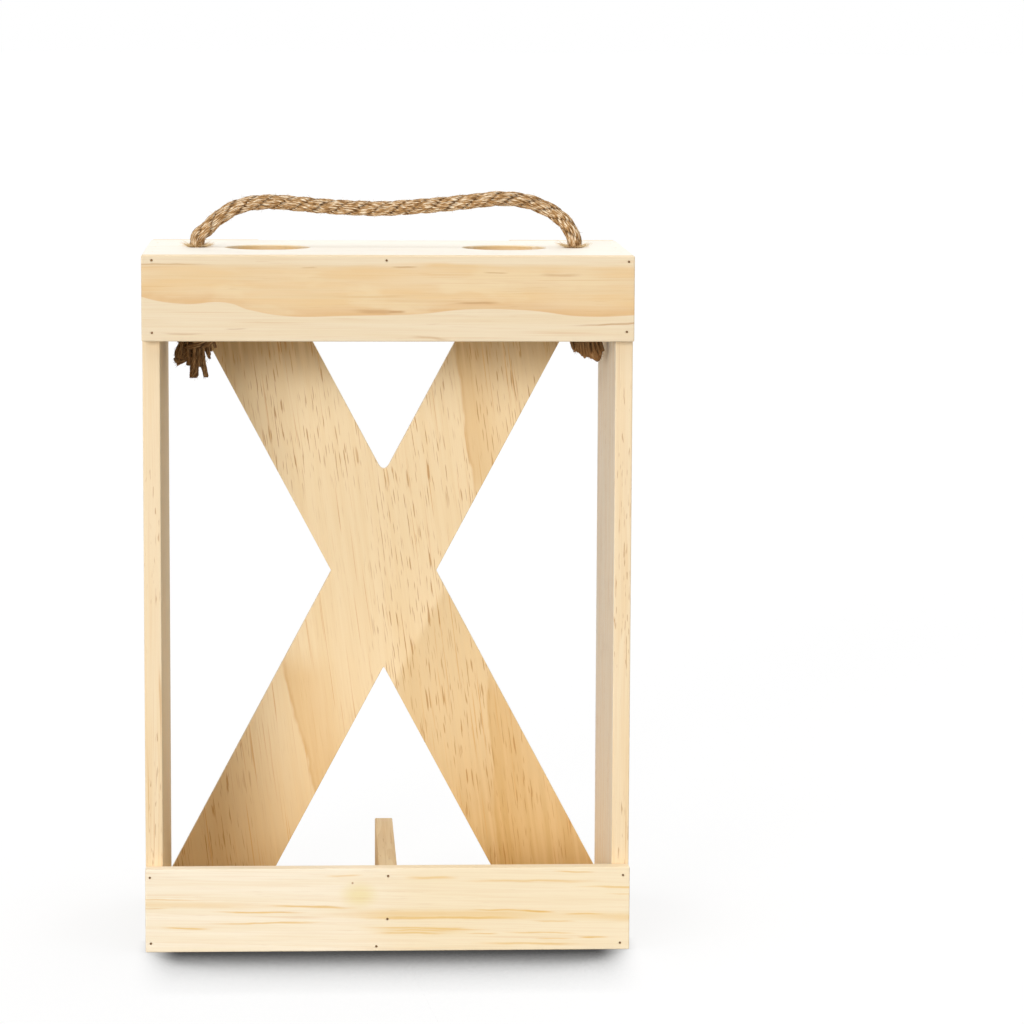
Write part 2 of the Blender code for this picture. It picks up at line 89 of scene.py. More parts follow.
# %% The arch's middle line
MM = 0.001
ROPE_DIAMETER = 6.2 * MM
ROPE_HOLE_X = 82.7 * MM
MIDDLE_Y = 1.5 * MM
BOARD_TOP_Z = 302.0 * MM
BOARD_UNDERSIDE_Z = 294.5 * MM
STUB_Z = 298.0 * MM
SWING_Z = 305.6 * MM
ROPE_RISE = 18.0 * MM

# Shares of the rope hole's distance from the crate's middle, and of the rope's rise above the hinge
ARCH_SHARES = (
    (-1.000, 0.000),
    (-0.958, 0.211),
    (-0.897, 0.478),
    (-0.815, 0.722),
    (-0.719, 0.861),
    (-0.611, 0.900),
    (-0.496, 0.867),
    (-0.363, 0.811),
    (-0.193, 0.761),
    (-0.012, 0.744),
    (0.157, 0.794),
    (0.314, 0.856),
    (0.459, 0.928),
    (0.580, 0.989),
    (0.677, 0.978),
    (0.775, 0.894),
    (0.883, 0.672),
    (0.958, 0.378),
    (1.000, 0.000),
)


def smooth_route(points, per_span):
    """A smooth curve through the points (a Catmull-Rom spline), with per_span steps between each two."""
    points = np.array(points, float)
    padded = np.concatenate((2 * points[:1] - points[1:2], points, 2 * points[-1:] - points[-2:-1]))
    route = []
    for before, start, end, after in zip(padded, padded[1:], padded[2:], padded[3:]):
        for t in np.arange(per_span) / per_span:
            bend = 2 * before - 5 * start + 4 * end - after
            turn = 3 * start - before - 3 * end + after
            route.append(0.5 * (2 * start + (end - before) * t + bend * t**2 + turn * t**3))
    return np.array(route + [points[-1]])


def lengths_along(path):
    """How far each point lies from the path's start, along it."""
    return np.concatenate(([0.0], np.cumsum(np.linalg.norm(np.diff(path, axis=0), axis=1))))


def length_of(path):
    return lengths_along(path)[-1]


def spaced_evenly(path, count):
    """The same path with that many points at equal distances."""
    along = lengths_along(path)
    wanted = np.linspace(0.0, along[-1], count)
    return np.stack([np.interp(wanted, along, path[:, axis]) for axis in range(3)], axis=1)


shares = np.array(ARCH_SHARES)
across = np.full(len(shares), MIDDLE_Y)
arch = np.stack((shares[:, 0] * ROPE_HOLE_X, across, SWING_Z + shares[:, 1] * ROPE_RISE), axis=1)
stub_left, stub_right = (np.array([(side * ROPE_HOLE_X, MIDDLE_Y, STUB_Z)]) for side in (-1, 1))

# %% [markdown]
# ## Laying up the rope
#
# A laid rope is three strands wound round each other, and each strand is a bundle of yarns wound the other
# way, which keeps the rope from coming undone. It could be one tube with a bump map, but then its outline
# stays smooth. Here each strand is its own wrapped grid: the grid's columns run along the yarns, so a few
# columns for each yarn draw all of its ridges. Its neighbours press each strand into a wedge with a round
# back, so the outline dips only a little between them. This rope's strands climb to the right on its near
# side.

# %% How the strands lie
STRANDS = 3
STRAND_RADIUS = 1.55 * MM
STRAND_OFFSET = 1.70 * MM
PLUMP_SHARE = 1.06
SHOULDER_SHARE = 0.20
SHOULDER_POWER = 3.2
LAY_LENGTH = 25.0 * MM
YARN_TURN_LENGTH = 26.0 * MM
YARNS = 8
COLUMNS_PER_YARN = 4
RIDGE_SHARE = 0.13
RIDGE_MIDDLE = 0.75
ROUGHNESS_SHARE = 0.035
SWELLS, SWELL_SHARE = 40, 0.02
FRAYED_RINGS = 5
# Where the hollows lie that get painted shade, and how strong that shade is between yarns
HOLLOW_FROM, HOLLOW_OVER = 0.75, 0.9
YARN_HOLLOW = 0.5


def wedge_reach():
    """How far a pressed strand reaches from its middle, by the angle from the rope's outward direction."""
    turn = np.radians(np.linspace(-60, 60, 121))
    shoulder = SHOULDER_SHARE * np.abs(turn / turn[-1]) ** SHOULDER_POWER
    outer = PLUMP_SHARE * ROPE_DIAMETER / 2 * (1 - shoulder)
    back = np.stack((outer * np.cos(turn), outer * np.sin(turn)), axis=1)
    inward = np.linspace(0.99, 0.02, 60)[:, None]
    outline = np.concatenate((back, inward * back[-1], inward * back[0])) - (STRAND_OFFSET, 0.0)
    return np.arctan2(outline[:, 1], outline[:, 0]), np.linalg.norm(outline, axis=1)


WEDGE_ANGLES, WEDGE_REACH = wedge_reach()


def carried_across(path, start):
    """A direction across the path at each point, carried along it without twisting, and the path's own."""
    ahead = np.gradient(path, axis=0)
    ahead /= np.linalg.norm(ahead, axis=1)[:, None]
    across = [np.array(start, float)]
    for direction in ahead:
        side = across[-1] - direction * (across[-1] @ direction)
        across.append(side / np.linalg.norm(side))
    return np.array(across[1:]), ahead


def helix_round(path, phase):
    """The middle line of one strand laid round the path, and its direction away from the path."""
    across, ahead = carried_across(path, (0.0, 1.0, 0.0))
    angle = (phase - 2 * math.pi * lengths_along(path) / LAY_LENGTH)[:, None]
    away = np.cos(angle) * across + np.sin(angle) * np.cross(ahead, across)
    return path + STRAND_OFFSET * away, away


def lay_strand(bm, spine, away, radius, rng, yarns=YARNS, ragged=0.0):
    """Wraps a grid round the spine. Its UV map is in millimetres: round the strand, then along it.

    Where away has its full length the strand is pressed into a wedge, and where it is zero the strand is
    loose and round. The float layer hollow_shade, the strength of the painted shade in the hollows, is 1
    between strands, 0.5 between yarns and 0 on their backs.
    """
    uv = bm.loops.layers.uv.get("strand_map") or bm.loops.layers.uv.new("strand_map")
    hollow_shade = bm.verts.layers.float.get("hollow_shade") or bm.verts.layers.float.new("hollow_shade")
    rings, columns = len(spine), yarns * COLUMNS_PER_YARN
    made = bmesh.ops.create_grid(bm, x_segments=columns, y_segments=rings - 1, size=1.0)["verts"]
    place = np.array([vert.co for vert in made])
    round_share = (place[:, 0] + 1) / 2
    row = np.rint((place[:, 1] + 1) / 2 * (rings - 1)).astype(int)
    across, ahead = carried_across(spine, (0.31, 0.95, 0.07))
    along = lengths_along(spine)
    angle = 2 * math.pi * (round_share + along[row] / YARN_TURN_LENGTH)
    out = np.cos(angle)[:, None] * across[row] + np.sin(angle)[:, None] * np.cross(ahead, across)[row]
    pressed = np.linalg.norm(away, axis=1)[row]
    outward = (out * away[row]).sum(axis=1)
    sideways = (out * np.cross(ahead, away)[row]).sum(axis=1)
    wedge = np.interp(np.arctan2(sideways, outward), WEDGE_ANGLES, WEDGE_REACH, period=2 * math.pi)
    reach = pressed * wedge + (1 - pressed) * radius[row]
    swell = np.interp(along[row], np.linspace(0, along[-1], SWELLS), rng.normal(0, SWELL_SHARE, SWELLS))
    arc = np.abs(np.cos(math.pi * yarns * round_share))
    column = np.rint(round_share * columns).astype(int) % columns
    rough = rng.normal(0, ROUGHNESS_SHARE, (rings, columns))[row, column]
    reach = reach * (1 + RIDGE_SHARE * (arc - RIDGE_MIDDLE) + swell + rough)
    points = spine[row] + reach[:, None] * out
    if ragged:
        cut_depth = np.repeat(rng.uniform(-1, 1, yarns), COLUMNS_PER_YARN)
        near_end = np.clip((row - (rings - 1 - FRAYED_RINGS)) / FRAYED_RINGS, 0, 1)
        points += (ragged * cut_depth[column] * near_end)[:, None] * ahead[row]
    # How much painted shade each point gets: full in the hollows between strands, half between yarns
    between = pressed * np.clip((HOLLOW_FROM - outward) / HOLLOW_OVER, 0, 1)
    depth = np.clip(between + YARN_HOLLOW * (1 - arc) ** 2, 0, 1)
    flat = {}
    for vert, point, value, share, line in zip(made, points, depth, round_share, row):
        vert.co, vert[hollow_shade] = point, value
        flat[vert] = (share * 2 * math.pi * STRAND_RADIUS / MM, along[line] / MM)
    for face in {face for vert in made for face in vert.link_faces}:
        for loop in face.loops:
            loop[uv].uv = flat[loop.vert]
    bmesh.ops.remove_doubles(bm, verts=made, dist=0.001 * MM)
    bmesh.ops.holes_fill(bm, edges=[edge for edge in bm.edges if edge.is_boundary], sides=0)


def piece_of(name, bm):
    """Links the bmesh as a smooth-shaded object, with its faces turned outwards."""
    bmesh.ops.recalc_face_normals(bm, faces=bm.faces)
    mesh = bpy.data.meshes.new(name)
    bm.to_mesh(mesh)
    bm.free()
    mesh.shade_smooth()
    obj = bpy.data.objects.new(name, mesh)
    bpy.context.scene.collection.objects.link(obj)
    print(f"{name}: {sum(len(face.vertices) - 2 for face in mesh.polygons)} triangles")
    return obj


# %% [markdown]
# ## Loose fibres
#
# Jute is never smooth: short fibres stand off every yarn and catch the light. Real ones are about 0.05 mm
# thick, which is too fine for this picture, so they are drawn twice that. Each is one thin curve, and all of
# them become one mesh with the rope they grow on. Each has its own spot on the rope's UV map, so its own
# tone.

# %% Fibres
FIBRE_RADIUS = 0.06 * MM
FIBRE_STEPS = 3
FIBRE_TAPER = 0.6
# How far a fibre stands off its strand and leans along it, and how deep its root is
STAND_OFF, LEAN, ROOT_SHARE = (0.15, 0.5), (0.5, 0.9), 0.9
JUTE, STRAW = 0, 1


def add_fibres(bm, roots, rng, curl=0.45, material=JUTE):
    """Adds one bent fibre for each (root, direction, length), in the piece's first or second material."""
    curve = bpy.data.curves.new("fibres", "CURVE")
    curve.dimensions, curve.bevel_depth, curve.bevel_resolution = "3D", FIBRE_RADIUS, 0
    for root, direction, length in roots:
        spline = curve.splines.new("POLY")
        spline.points.add(FIBRE_STEPS)
        bend = rng.uniform(-curl, curl, 3)
        for step, point in enumerate(spline.points):
            t = step / FIBRE_STEPS
            point.co = (*(root + length * (t * direction + t * t * bend)), 1.0)
            point.radius = 1 - FIBRE_TAPER * t
    holder = bpy.data.objects.new("fibres", curve)
    bpy.context.scene.collection.objects.link(holder)
    graph = bpy.context.evaluated_depsgraph_get()
    mesh = bpy.data.meshes.new_from_object(holder.evaluated_get(graph), depsgraph=graph)
    rope_faces = len(bm.faces)
    bm.from_mesh(mesh)
    bm.faces.ensure_lookup_table()
    uv = bm.loops.layers.uv["strand_map"]
    faces_each = (len(bm.faces) - rope_faces) // len(roots)
    tones = rng.uniform(0, 1000, (len(roots), 2))
    for count, face in enumerate(bm.faces[rope_faces:]):
        face.material_index = material
        for loop in face.loops:
            loop[uv].uv = tones[min(count // faces_each, len(roots) - 1)]
    bpy.data.objects.remove(holder, do_unlink=True)
    bpy.data.meshes.remove(mesh)
    bpy.data.curves.remove(curve)


def fibres_on(spines, count, shortest, longest, rng):
    """Roots for fibres spread over the strands, leaning along the rope as real ones do."""
    roots = []
    for _ in range(count):
        spine = spines[rng.integers(len(spines))]
        place = rng.integers(2, len(spine) - 2)
        ahead = spine[place + 1] - spine[place - 1]
        ahead /= np.linalg.norm(ahead)
        out = np.cross(ahead, rng.normal(0, 1, 3))
        out /= np.linalg.norm(out)
        direction = rng.uniform(*STAND_OFF) * out + rng.choice((-1, 1)) * rng.uniform(*LEAN) * ahead
        root = spine[place] + ROOT_SHARE * STRAND_RADIUS * out
        roots.append((root, direction, rng.uniform(shortest, longest)))
    return roots


def drawn(rng, span):
    """A number drawn between two, or the one number that is given."""
    return rng.uniform(*span) if isinstance(span, tuple) else span


def strewn(rng, count, side, above, climb, millimetres, reach_share):
    """Roots for fibres that lie round the rope on the board: how far above it, how steep and how long."""
    roots = []
    for angle in rng.uniform(0, 2 * math.pi, count):
        out = np.array((math.cos(angle), math.sin(angle), 0.0))
        foot = np.array((side * ROPE_HOLE_X, MIDDLE_Y, BOARD_TOP_Z + drawn(rng, above) * MM))
        root, direction = foot + reach_share * ROPE_DIAMETER * out, out + (0.0, 0.0, drawn(rng, climb))
        roots.append((root, direction, drawn(rng, millimetres) * MM))
    return roots


# %% [markdown]
# ## The handle's arch
#
# The arch runs from inside one hole to inside the other. It swings on the two short lengths that stand in the
# holes, so its first centimetre bends between them and the arch. A frill of fibres that the holes' edges
# have rubbed off lies round it on the board. They are bleached, so they take the rope's second material.

# %% The handle's rope
RING_STEP = 0.5 * MM
STUB_DEPTH = 2 * MM
ARCH_PHASE = 0.6
ARCH_FIBRES = 2400
FRILL = {"count": 150, "above": 0.3, "climb": 0.15, "millimetres": (1.1, 1.8), "reach_share": 0.42}

rng = np.random.default_rng(41)
stubs = [end - (0, 0, STUB_DEPTH) for end in (stub_left, stub_right)]
fine = smooth_route(np.concatenate((stubs[0], arch, stubs[1])), 40)
fine = spaced_evenly(fine, int(length_of(fine) / RING_STEP))
bm = bmesh.new()
spines = []
for count in range(STRANDS):
    spine, away = helix_round(fine, ARCH_PHASE + 2 * math.pi * count / STRANDS)
    lay_strand(bm, spine, away, np.full(len(spine), STRAND_RADIUS), rng)
    spines.append(spine)
add_fibres(bm, fibres_on(spines, ARCH_FIBRES, 0.8 * MM, 2.1 * MM, rng), rng)
add_fibres(bm, strewn(rng, side=-1, **FRILL) + strewn(rng, side=1, **FRILL), rng, material=STRAW)
rope = piece_of("rope", bm)
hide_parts("rope_arch")
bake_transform(rope)

# %% [markdown]
# ## The knots
#
# Each end is tied in an overhand knot and its strands are left to come apart. The knot is pulled tight by the
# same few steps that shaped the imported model's knot: a loose loop is shortened between two fixed ends while
# passes that come too near push each other apart.

# %% An overhand knot, pulled tight
KNOT_GAP = 0.6 * MM
KNOT_POINTS = 60
TIGHTENING_ROUNDS = 700
SETTLING_PASSES = 6
STRETCH_SHARE, KINK_SHARE, PUSH_SHARE = 0.25, 0.06, 0.28
SHORTENING_SHARE, MOST_STRETCH_SHARE = 0.9975, 1.012


def overhand_knot(rope_diameter, gap):
    """The middle line of a tight overhand knot on an upright rope, from top to bottom."""
    winding, half_height = 0.62 * rope_diameter, 1.9 * rope_diameter
    bow, sweep = 1.75 * rope_diameter, 2.185 * rope_diameter
    lead, reach, clear = 0.45 * rope_diameter, 3.0 * rope_diameter, rope_diameter + gap
    turn = np.linspace(0.0, 1.0, KNOT_POINTS)

    def half_turns(start):
        angle, drop = start + 3 * math.pi * turn, half_height * (1 - 2 * turn)
        return np.stack((winding * np.cos(angle), winding * np.sin(angle), drop), axis=1)

    loop = math.pi * turn[1:-1]
    back = np.stack((winding + bow * np.sin(loop), 0 * loop, -sweep * np.cos(loop)), axis=1)
    ends = np.array([[lead, 0.0, reach], [lead, 0.0, -reach]])
    loose = np.concatenate((ends[:1], half_turns(math.pi), back, half_turns(0.0), ends[1:]))
    path, length = spaced_evenly(loose, KNOT_POINTS), length_of(loose)
    first, second = np.triu_indices(KNOT_POINTS, 1)
    for _ in range(TIGHTENING_ROUNDS):
        step = length / (KNOT_POINTS - 1)
        far = second - first >= math.ceil(math.pi / 2 * clear / step)
        a, b = first[far], second[far]
        for _ in range(SETTLING_PASSES):
            link = path[1:] - path[:-1]
            size = np.sqrt((link**2).sum(axis=1))
            pull = (STRETCH_SHARE * (size - step) / size)[:, None] * link
            path[:-1] += pull
            path[1:] -= pull
            path[1:-1] += KINK_SHARE * ((path[:-2] + path[2:]) / 2 - path[1:-1])
            between = path[b] - path[a]
            size = np.sqrt((between**2).sum(axis=1))
            close = size < clear
            push = (PUSH_SHARE * (clear - size[close]) / size[close])[:, None] * between[close]
            np.subtract.at(path, a[close], push)
            np.add.at(path, b[close], push)
            path[0], path[-1] = ends
        if length_of(path) < MOST_STRETCH_SHARE * length:
            length *= SHORTENING_SHARE
    return path - (lead, 0.0, 0.0)


knot = overhand_knot(ROPE_DIAMETER, KNOT_GAP)
print(f"knot with its two leads: {1000 * length_of(knot):.0f} mm of rope")

# %% [markdown]
# Under the knot the three strands part and each goes its own way. Where each ends, and how thick it has
# become, is given from the knot's middle in shares of the rope's diameter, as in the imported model. The yarns
# of a cut strand never end level, so its last few rings are ragged, and many yarns have worked loose and
# hang in front of the knot. Where the rope leaves its hole above the board, straw rubbed off it lies round
# its foot. It would reach too far from the handle's line to be part of that, so it belongs to the rope's end.

# %% Knots, cut strands and loose yarns
STRAND_STEP = 0.4 * MM
POINT_STEP = 1.0 * MM
SPLIT_BEFORE_FOOT = 5.0 * MM
PARTING_LENGTH = 8.0 * MM
PARTING_SHARE, PARTING_DROP = 0.22, 0.25
KNOT_TAIL_SHARE = 1.85
YARN_RADIUS = 0.70 * MM
YARN_POINTS, LOOSE_YARN_RIDGES = 26, 3
YARN_THICKNESSES, YARN_SAG_SHARE, YARN_ROOT_SHARE = (0.75, 1.25), 0.08, 0.35
STRAND_RAGGED, YARN_RAGGED = 0.7 * MM, 0.4 * MM
STRAND_BRISTLES, YARN_BRISTLES = 16, 4
BRISTLE_OFFSET, BRISTLE_SPREAD, BRISTLE_MM = 0.5, 0.25, (0.4, 1.1)
KNOT_FIBRES = 420
FOOT_STRAW = {
    "count": 230,
    "above": (0.2, 0.6),
    "climb": (0.10, 0.38),
    "millimetres": (1.6, 5.6),
    "reach_share": 0.44,
}
# Each strand's end, from the knot's middle, and its thickness: (x, y, z, thickness)
LEFT_STRANDS = ((-1.58, -0.35, -2.74, 0.60), (-0.30, 0.00, -3.80, 0.62), (0.54, 0.25, -3.78, 0.38))
RIGHT_STRANDS = ((0.30, -0.10, -2.60, 0.60), (1.02, -0.62, -2.82, 0.70), (1.75, -1.45, -2.95, 0.66))
# Loose yarns, from the knot's middle in hundredths of the diameter: x, y, z where each leaves it and ends
LEFT_YARNS = (
    (-95, -145, -35, -142, -75, -240),
    (-66, -155, -35, -58, -90, -280),
    (-36, -160, -35, -32, -90, -310),
    (-5, -160, -35, 6, -90, -295),
    (26, -155, -35, 46, -85, -285),
    (58, -145, -35, 84, -55, -225),
    (-105, -70, -105, -152, -45, -245),
    (-92, -85, -105, -134, -60, -260),
    (-78, -95, -105, -112, -65, -245),
    (-62, -105, -105, -86, -70, -235),
    (-46, -110, -105, -62, -70, -295),
    (-20, -110, -105, -10, -75, -330),
    (-2, -110, -105, 14, -80, -290),
    (18, -105, -105, 30, -85, -264),
    (36, -100, -105, 44, -60, -310),
    (54, -90, -105, 82, -35, -248),
    (72, -80, -105, 96, -25, -195),
    (90, -50, -100, 122, -10, -165),
    (-40, 50, -140, -75, 70, -300),
    (30, 50, -140, 20, 75, -320),
)
RIGHT_YARNS = (
    (-20, -90, -100, 0, -45, -246),
    (-4, -100, -100, 18, -60, -252),
    (12, -105, -100, 38, -75, -260),
    (28, -110, -100, 58, -90, -274),
    (44, -110, -100, 80, -100, -282),
    (60, -110, -100, 102, -115, -290),
    (76, -110, -100, 124, -130, -297),
    (92, -110, -100, 146, -145, -302),
    (108, -105, -100, 166, -160, -298),
    (122, -100, -100, 184, -180, -268),
    (134, -95, -100, 202, -200, -244),
    (62, -55, -60, 92, -60, -275),
    (82, -60, -60, 118, -75, -285),
    (10, 10, -130, 30, 20, -250),
    (45, 5, -130, 75, 10, -270),
    (80, 0, -130, 115, 5, -280),
    (110, -20, -125, 155, -40, -285),
    (115, -70, -100, 150, -105, -292),
    (130, -60, -100, 170, -110, -280),
    (145, -70, -100, 190, -140, -260),
    (100, -80, -100, 166, -135, -285),
    (112, -90, -100, 176, -145, -280),
    (126, -85, -100, 188, -155, -270),
)


def brush(end, ahead, radius, count, rng):
    """Roots for the fibres that stick out of a cut end."""
    roots = []
    for _ in range(count):
        offset = rng.normal(0, BRISTLE_OFFSET, 3) * radius
        offset -= ahead * (offset @ ahead)
        direction = ahead + rng.normal(0, BRISTLE_SPREAD, 3)
        roots.append((end + offset, direction, rng.uniform(*BRISTLE_MM) * MM))
    return roots


def knotted_end(name, side, drop, turn, strands, yarns, seed):
    """The rope from inside its hole through the knot to the cut ends of its strands.

    The knot's middle hangs drop below the board, and the knot is turned about the rope by turn.
    """
    rng = np.random.default_rng(seed)
    hole = np.array((side * ROPE_HOLE_X, MIDDLE_Y, 0.0))
    centre = hole + (0.0, 0.0, BOARD_UNDERSIDE_Z - drop)
    tail = KNOT_TAIL_SHARE * ROPE_DIAMETER
    turned = knot @ np.array(Matrix.Rotation(turn, 3, "Z")).T
    kept = turned[turned[:, 2] > -tail] + centre
    foot = centre - (0.0, 0.0, tail)
    upright = np.linspace(hole + (0.0, 0.0, BOARD_TOP_Z), kept[0], 4)[:-1]
    middle = smooth_route(np.concatenate((upright, kept, [foot])), 6)
    middle = spaced_evenly(middle, int(length_of(middle) / POINT_STEP))
    laid = [helix_round(middle, 2 * math.pi * count / STRANDS) for count in range(STRANDS)]
    split = len(middle) - int(SPLIT_BEFORE_FOOT / POINT_STEP)
    order = np.argsort([spine[split][0] for spine, _ in laid])
    bm = bmesh.new()
    spines, roots = [], []
    for which, (x, y, z, thickness) in zip(order, strands):
        spine, away = laid[which]
        end = centre + np.array((x, y, z)) * ROPE_DIAMETER
        parting = np.arctan2(y, x)
        apart = (PARTING_SHARE * np.cos(parting), PARTING_SHARE * np.sin(parting), -PARTING_DROP)
        bend = foot + np.array(apart) * ROPE_DIAMETER
        route = smooth_route(np.concatenate((spine[:split], [bend, (bend + end) / 2, end])), 4)
        length, laid_length = length_of(route), length_of(spine[:split])
        route = spaced_evenly(route, int(length / STRAND_STEP))
        along = np.linspace(0, length, len(route))
        parted = np.clip((along - laid_length) / PARTING_LENGTH, 0, 1)
        radius = STRAND_RADIUS + parted * (thickness * ROPE_DIAMETER / 2 - STRAND_RADIUS)
        nearest = np.clip((along / laid_length * split).astype(int), 0, split - 1)
        lay_strand(bm, route, away[nearest] * (1 - parted)[:, None], radius, rng, ragged=STRAND_RAGGED)
        spines.append(route)
        ahead = (route[-1] - route[-4]) / np.linalg.norm(route[-1] - route[-4])
        roots += brush(route[-1], ahead, radius[-1], STRAND_BRISTLES, rng)
    for yarn in yarns:
        start, end = centre + np.reshape(yarn, (2, 3)) / 100 * ROPE_DIAMETER
        sag = (start + end) / 2 + rng.normal(0, YARN_SAG_SHARE, 3) * ROPE_DIAMETER
        inside = start + (centre - start) * YARN_ROOT_SHARE
        route = spaced_evenly(smooth_route([inside, start, sag, end], 8), YARN_POINTS)
        thick = np.full(len(route), YARN_RADIUS * rng.uniform(*YARN_THICKNESSES))
        lay_strand(bm, route, 0 * route, thick, rng, yarns=LOOSE_YARN_RIDGES, ragged=YARN_RAGGED)
        ahead = (end - sag) / np.linalg.norm(end - sag)
        roots += brush(end, ahead, thick[0], YARN_BRISTLES, rng)
        spines.append(route)
    add_fibres(bm, roots + fibres_on(spines, KNOT_FIBRES, 0.8 * MM, 2.4 * MM, rng), rng)
    add_fibres(bm, strewn(rng, side=side, **FOOT_STRAW), rng, curl=0.2, material=STRAW)
    print(f"{name}: {1000 * length_of(middle):.0f} mm of rope from the board's top to the knot's foot")
    end = piece_of(name, bm)
    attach(end, "rope_ends")
    return end


left_knot = knotted_end("left_knot", -1, 26.0 * MM, 0.0, LEFT_STRANDS, LEFT_YARNS, 7)
right_knot = knotted_end("right_knot", 1, 22.0 * MM, math.radians(150), RIGHT_STRANDS, RIGHT_YARNS, 8)
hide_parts("rope_end_left")
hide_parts("rope_end_right")

# %% [markdown]
# ## Building a finish from nodes
#
# Every finish below is a small tree of nodes that ends in a Principled BSDF. One function adds a node, with
# its settings and its links, to the finish in hand. Another lays a shade over a colour as strongly as its
# shares say, which is how each mark of the wood is drawn. Hex colours, as they are read off a screen, become
# linear light on the way.

# %% Helpers for finishes
PER_MM = (1 / MM, 1 / MM, 1 / MM)
in_hand = {}


def linear(hex_colour):
    """An sRGB colour such as #f3e1c2 as linear red, green, blue and alpha."""
    parts = [int(hex_colour[i : i + 2], 16) / 255 for i in (1, 3, 5)]
    return (*(p / 12.92 if p <= 0.04045 else ((p + 0.055) / 1.055) ** 2.4 for p in parts), 1.0)


def fill(made, sockets):
    """Gives a node's sockets other nodes' outputs, numbers or hex colours."""
    for name, value in sockets.items():
        if isinstance(value, bpy.types.NodeSocket):
            made.id_data.links.new(value, made.inputs[name])
        else:
            made.inputs[name].default_value = linear(value) if isinstance(value, str) else value


def node(kind, *values, out=0, **settings):
    """Adds a node and gives one of its outputs. Values fill its sockets in order, or by name from a dict.

    A kind in capitals is an operation of the Math node. Smooth is a Map Range with a smooth step: 0 at its
    second value and before it, 1 at its third and past it.
    """
    if kind.isupper():
        kind, settings = "Math", {"operation": kind}
    elif kind == "Smooth":
        kind, settings = "MapRange", {"interpolation_type": "SMOOTHSTEP"}
    made = in_hand["tree"].nodes.new("ShaderNode" + kind)
    for name, value in settings.items():
        setattr(made, name, value)
    fill(made, values[0] if values and isinstance(values[0], dict) else dict(enumerate(values)))
    return made.outputs[out]


def product(*shares):
    """All the shares multiplied together: numbers, outputs, or (value, empty, full) for a smooth step."""
    first, *others = (node("Smooth", *share) if isinstance(share, tuple) else share for share in shares)
    for share in others:
        first = node("MULTIPLY", first, share)
    return first


def tinted(colour, shade, *shares):
    """The colour with the shade over it, by the product of the shares."""
    return node("Mix", {0: product(*shares), 6: colour, 7: shade}, data_type="RGBA", out=2)


def stretched(point, *sizes, detail=2.0):
    """Noise whose features are about that many of the point's units long, wide and deep, or in every way."""
    scale = [1 / size for size in sizes]
    point = node("Mapping", {"Vector": point, "Scale": (scale * 3)[:3]})
    return node("TexNoise", {"Vector": point, "Scale": 1.0, "Detail": detail})


def in_millimetres(place):
    return node("VectorMath", place, PER_MM, operation="MULTIPLY")


def facing(axis):
    """1 where the surface faces straight along the axis, either way, and 0 where it lies along it."""
    normal = node("TexCoord", out="Normal")
    return node("ABSOLUTE", node("SeparateXYZ", normal, out=axis))


def new_finish(name):
    """Starts a finish, so that it is the one in hand, to which the functions above add their nodes."""
    material = bpy.data.materials.new(name)
    material.use_nodes = True
    in_hand["tree"] = material.node_tree
    return material, material.node_tree.nodes["Principled BSDF"]


# %% [markdown]
# ## Jute rope
#
# Jute is a dull, fibrous brown with pale straw highlights where the yarns are rubbed, and painted shade
# darkens the hollows between the strands and yarns. The UV map runs along the yarns in millimetres, so
# stretched noise on it draws fibres that wind with them. Real fibres are under 0.1 mm wide and would not show,
# so they are drawn about 0.4 mm wide. The knots' jute is painted darker than the handle's, as painted shade
# under the board, and painted a warm tan towards the ends of the strands, as painted light where they hang
# lowest. The fibres round the rope's feet are bleached like straw.

# %% Jute
# Heights between which the knots' lower strands are painted a lighter tan, as painted light
PAINTED_LIGHT_FROM_Z = BOARD_UNDERSIDE_Z - 32.0 * MM
PAINTED_LIGHT_TO_Z = BOARD_UNDERSIDE_Z - 40.0 * MM
PAINTED_LIGHT_TAN = "#bf8c58"
# The painted hollow shade, then the dark, middle and pale fibres; the knots' set is painted darker, as painted
# shade
IN_LIGHT = ("#54391c", "#765430", "#b98f5e", "#f9e6c8")
IN_SHADE = ("#3d2715", "#573c22", "#83613c", "#b8966a")
BLEACHED = ("#b8925c", "#d0ac76", "#e6ca9a", "#f2dfb9")


def jute(name, colours, painted_light_show=0.0):
    """Dull jute, by the colours of the painted shade in its hollows and of its dark, middle and pale fibres,
    with painted light towards its end.
    """
    hollow_shade, dark, middle, pale = colours
    material, shader = new_finish(name)
    flat = node("UVMap", uv_map="strand_map")
    depth = node("Attribute", attribute_name="hollow_shade", out="Fac")
    fibres = stretched(flat, 0.35, 3.0, 1.0)
    patches = stretched(flat, 1.5, 4.0, 1.0, detail=1.0)
    covered = stretched(flat, 5.0, 9.0, 1.0, detail=1.0)
    tone = node("ADD", product(fibres, 0.7), product(patches, 0.3))
    straw = tinted(dark, middle, (tone, 0.40, 0.49))
    straw = tinted(straw, pale, (tone, 0.50, 0.60))
    broken = node("ADD", depth, product(node("SUBTRACT", patches, 0.5), 1.6))
    shown = node("ADD", 0.5, product((covered, 0.60, 0.42), 0.5))
    # Painted shade in the hollows between strands and yarns
    colour = tinted(straw, hollow_shade, (broken, 0.25, 1.05), shown)
    # Painted light: a lighter tan towards the strands' ends
    if painted_light_show:
        height = node("SeparateXYZ", node("TexCoord", out="Object"), out="Z")
        colour = tinted(colour, PAINTED_LIGHT_TAN, (height, PAINTED_LIGHT_FROM_Z, PAINTED_LIGHT_TO_Z), painted_light_show)
    bump = node("Bump", {"Height": fibres, "Strength": 0.8, "Distance": 0.2 * MM})
    fill(shader, {"Base Color": colour, "Roughness": 0.85, "Specular IOR Level": 0.2, "Normal": bump})
    return material


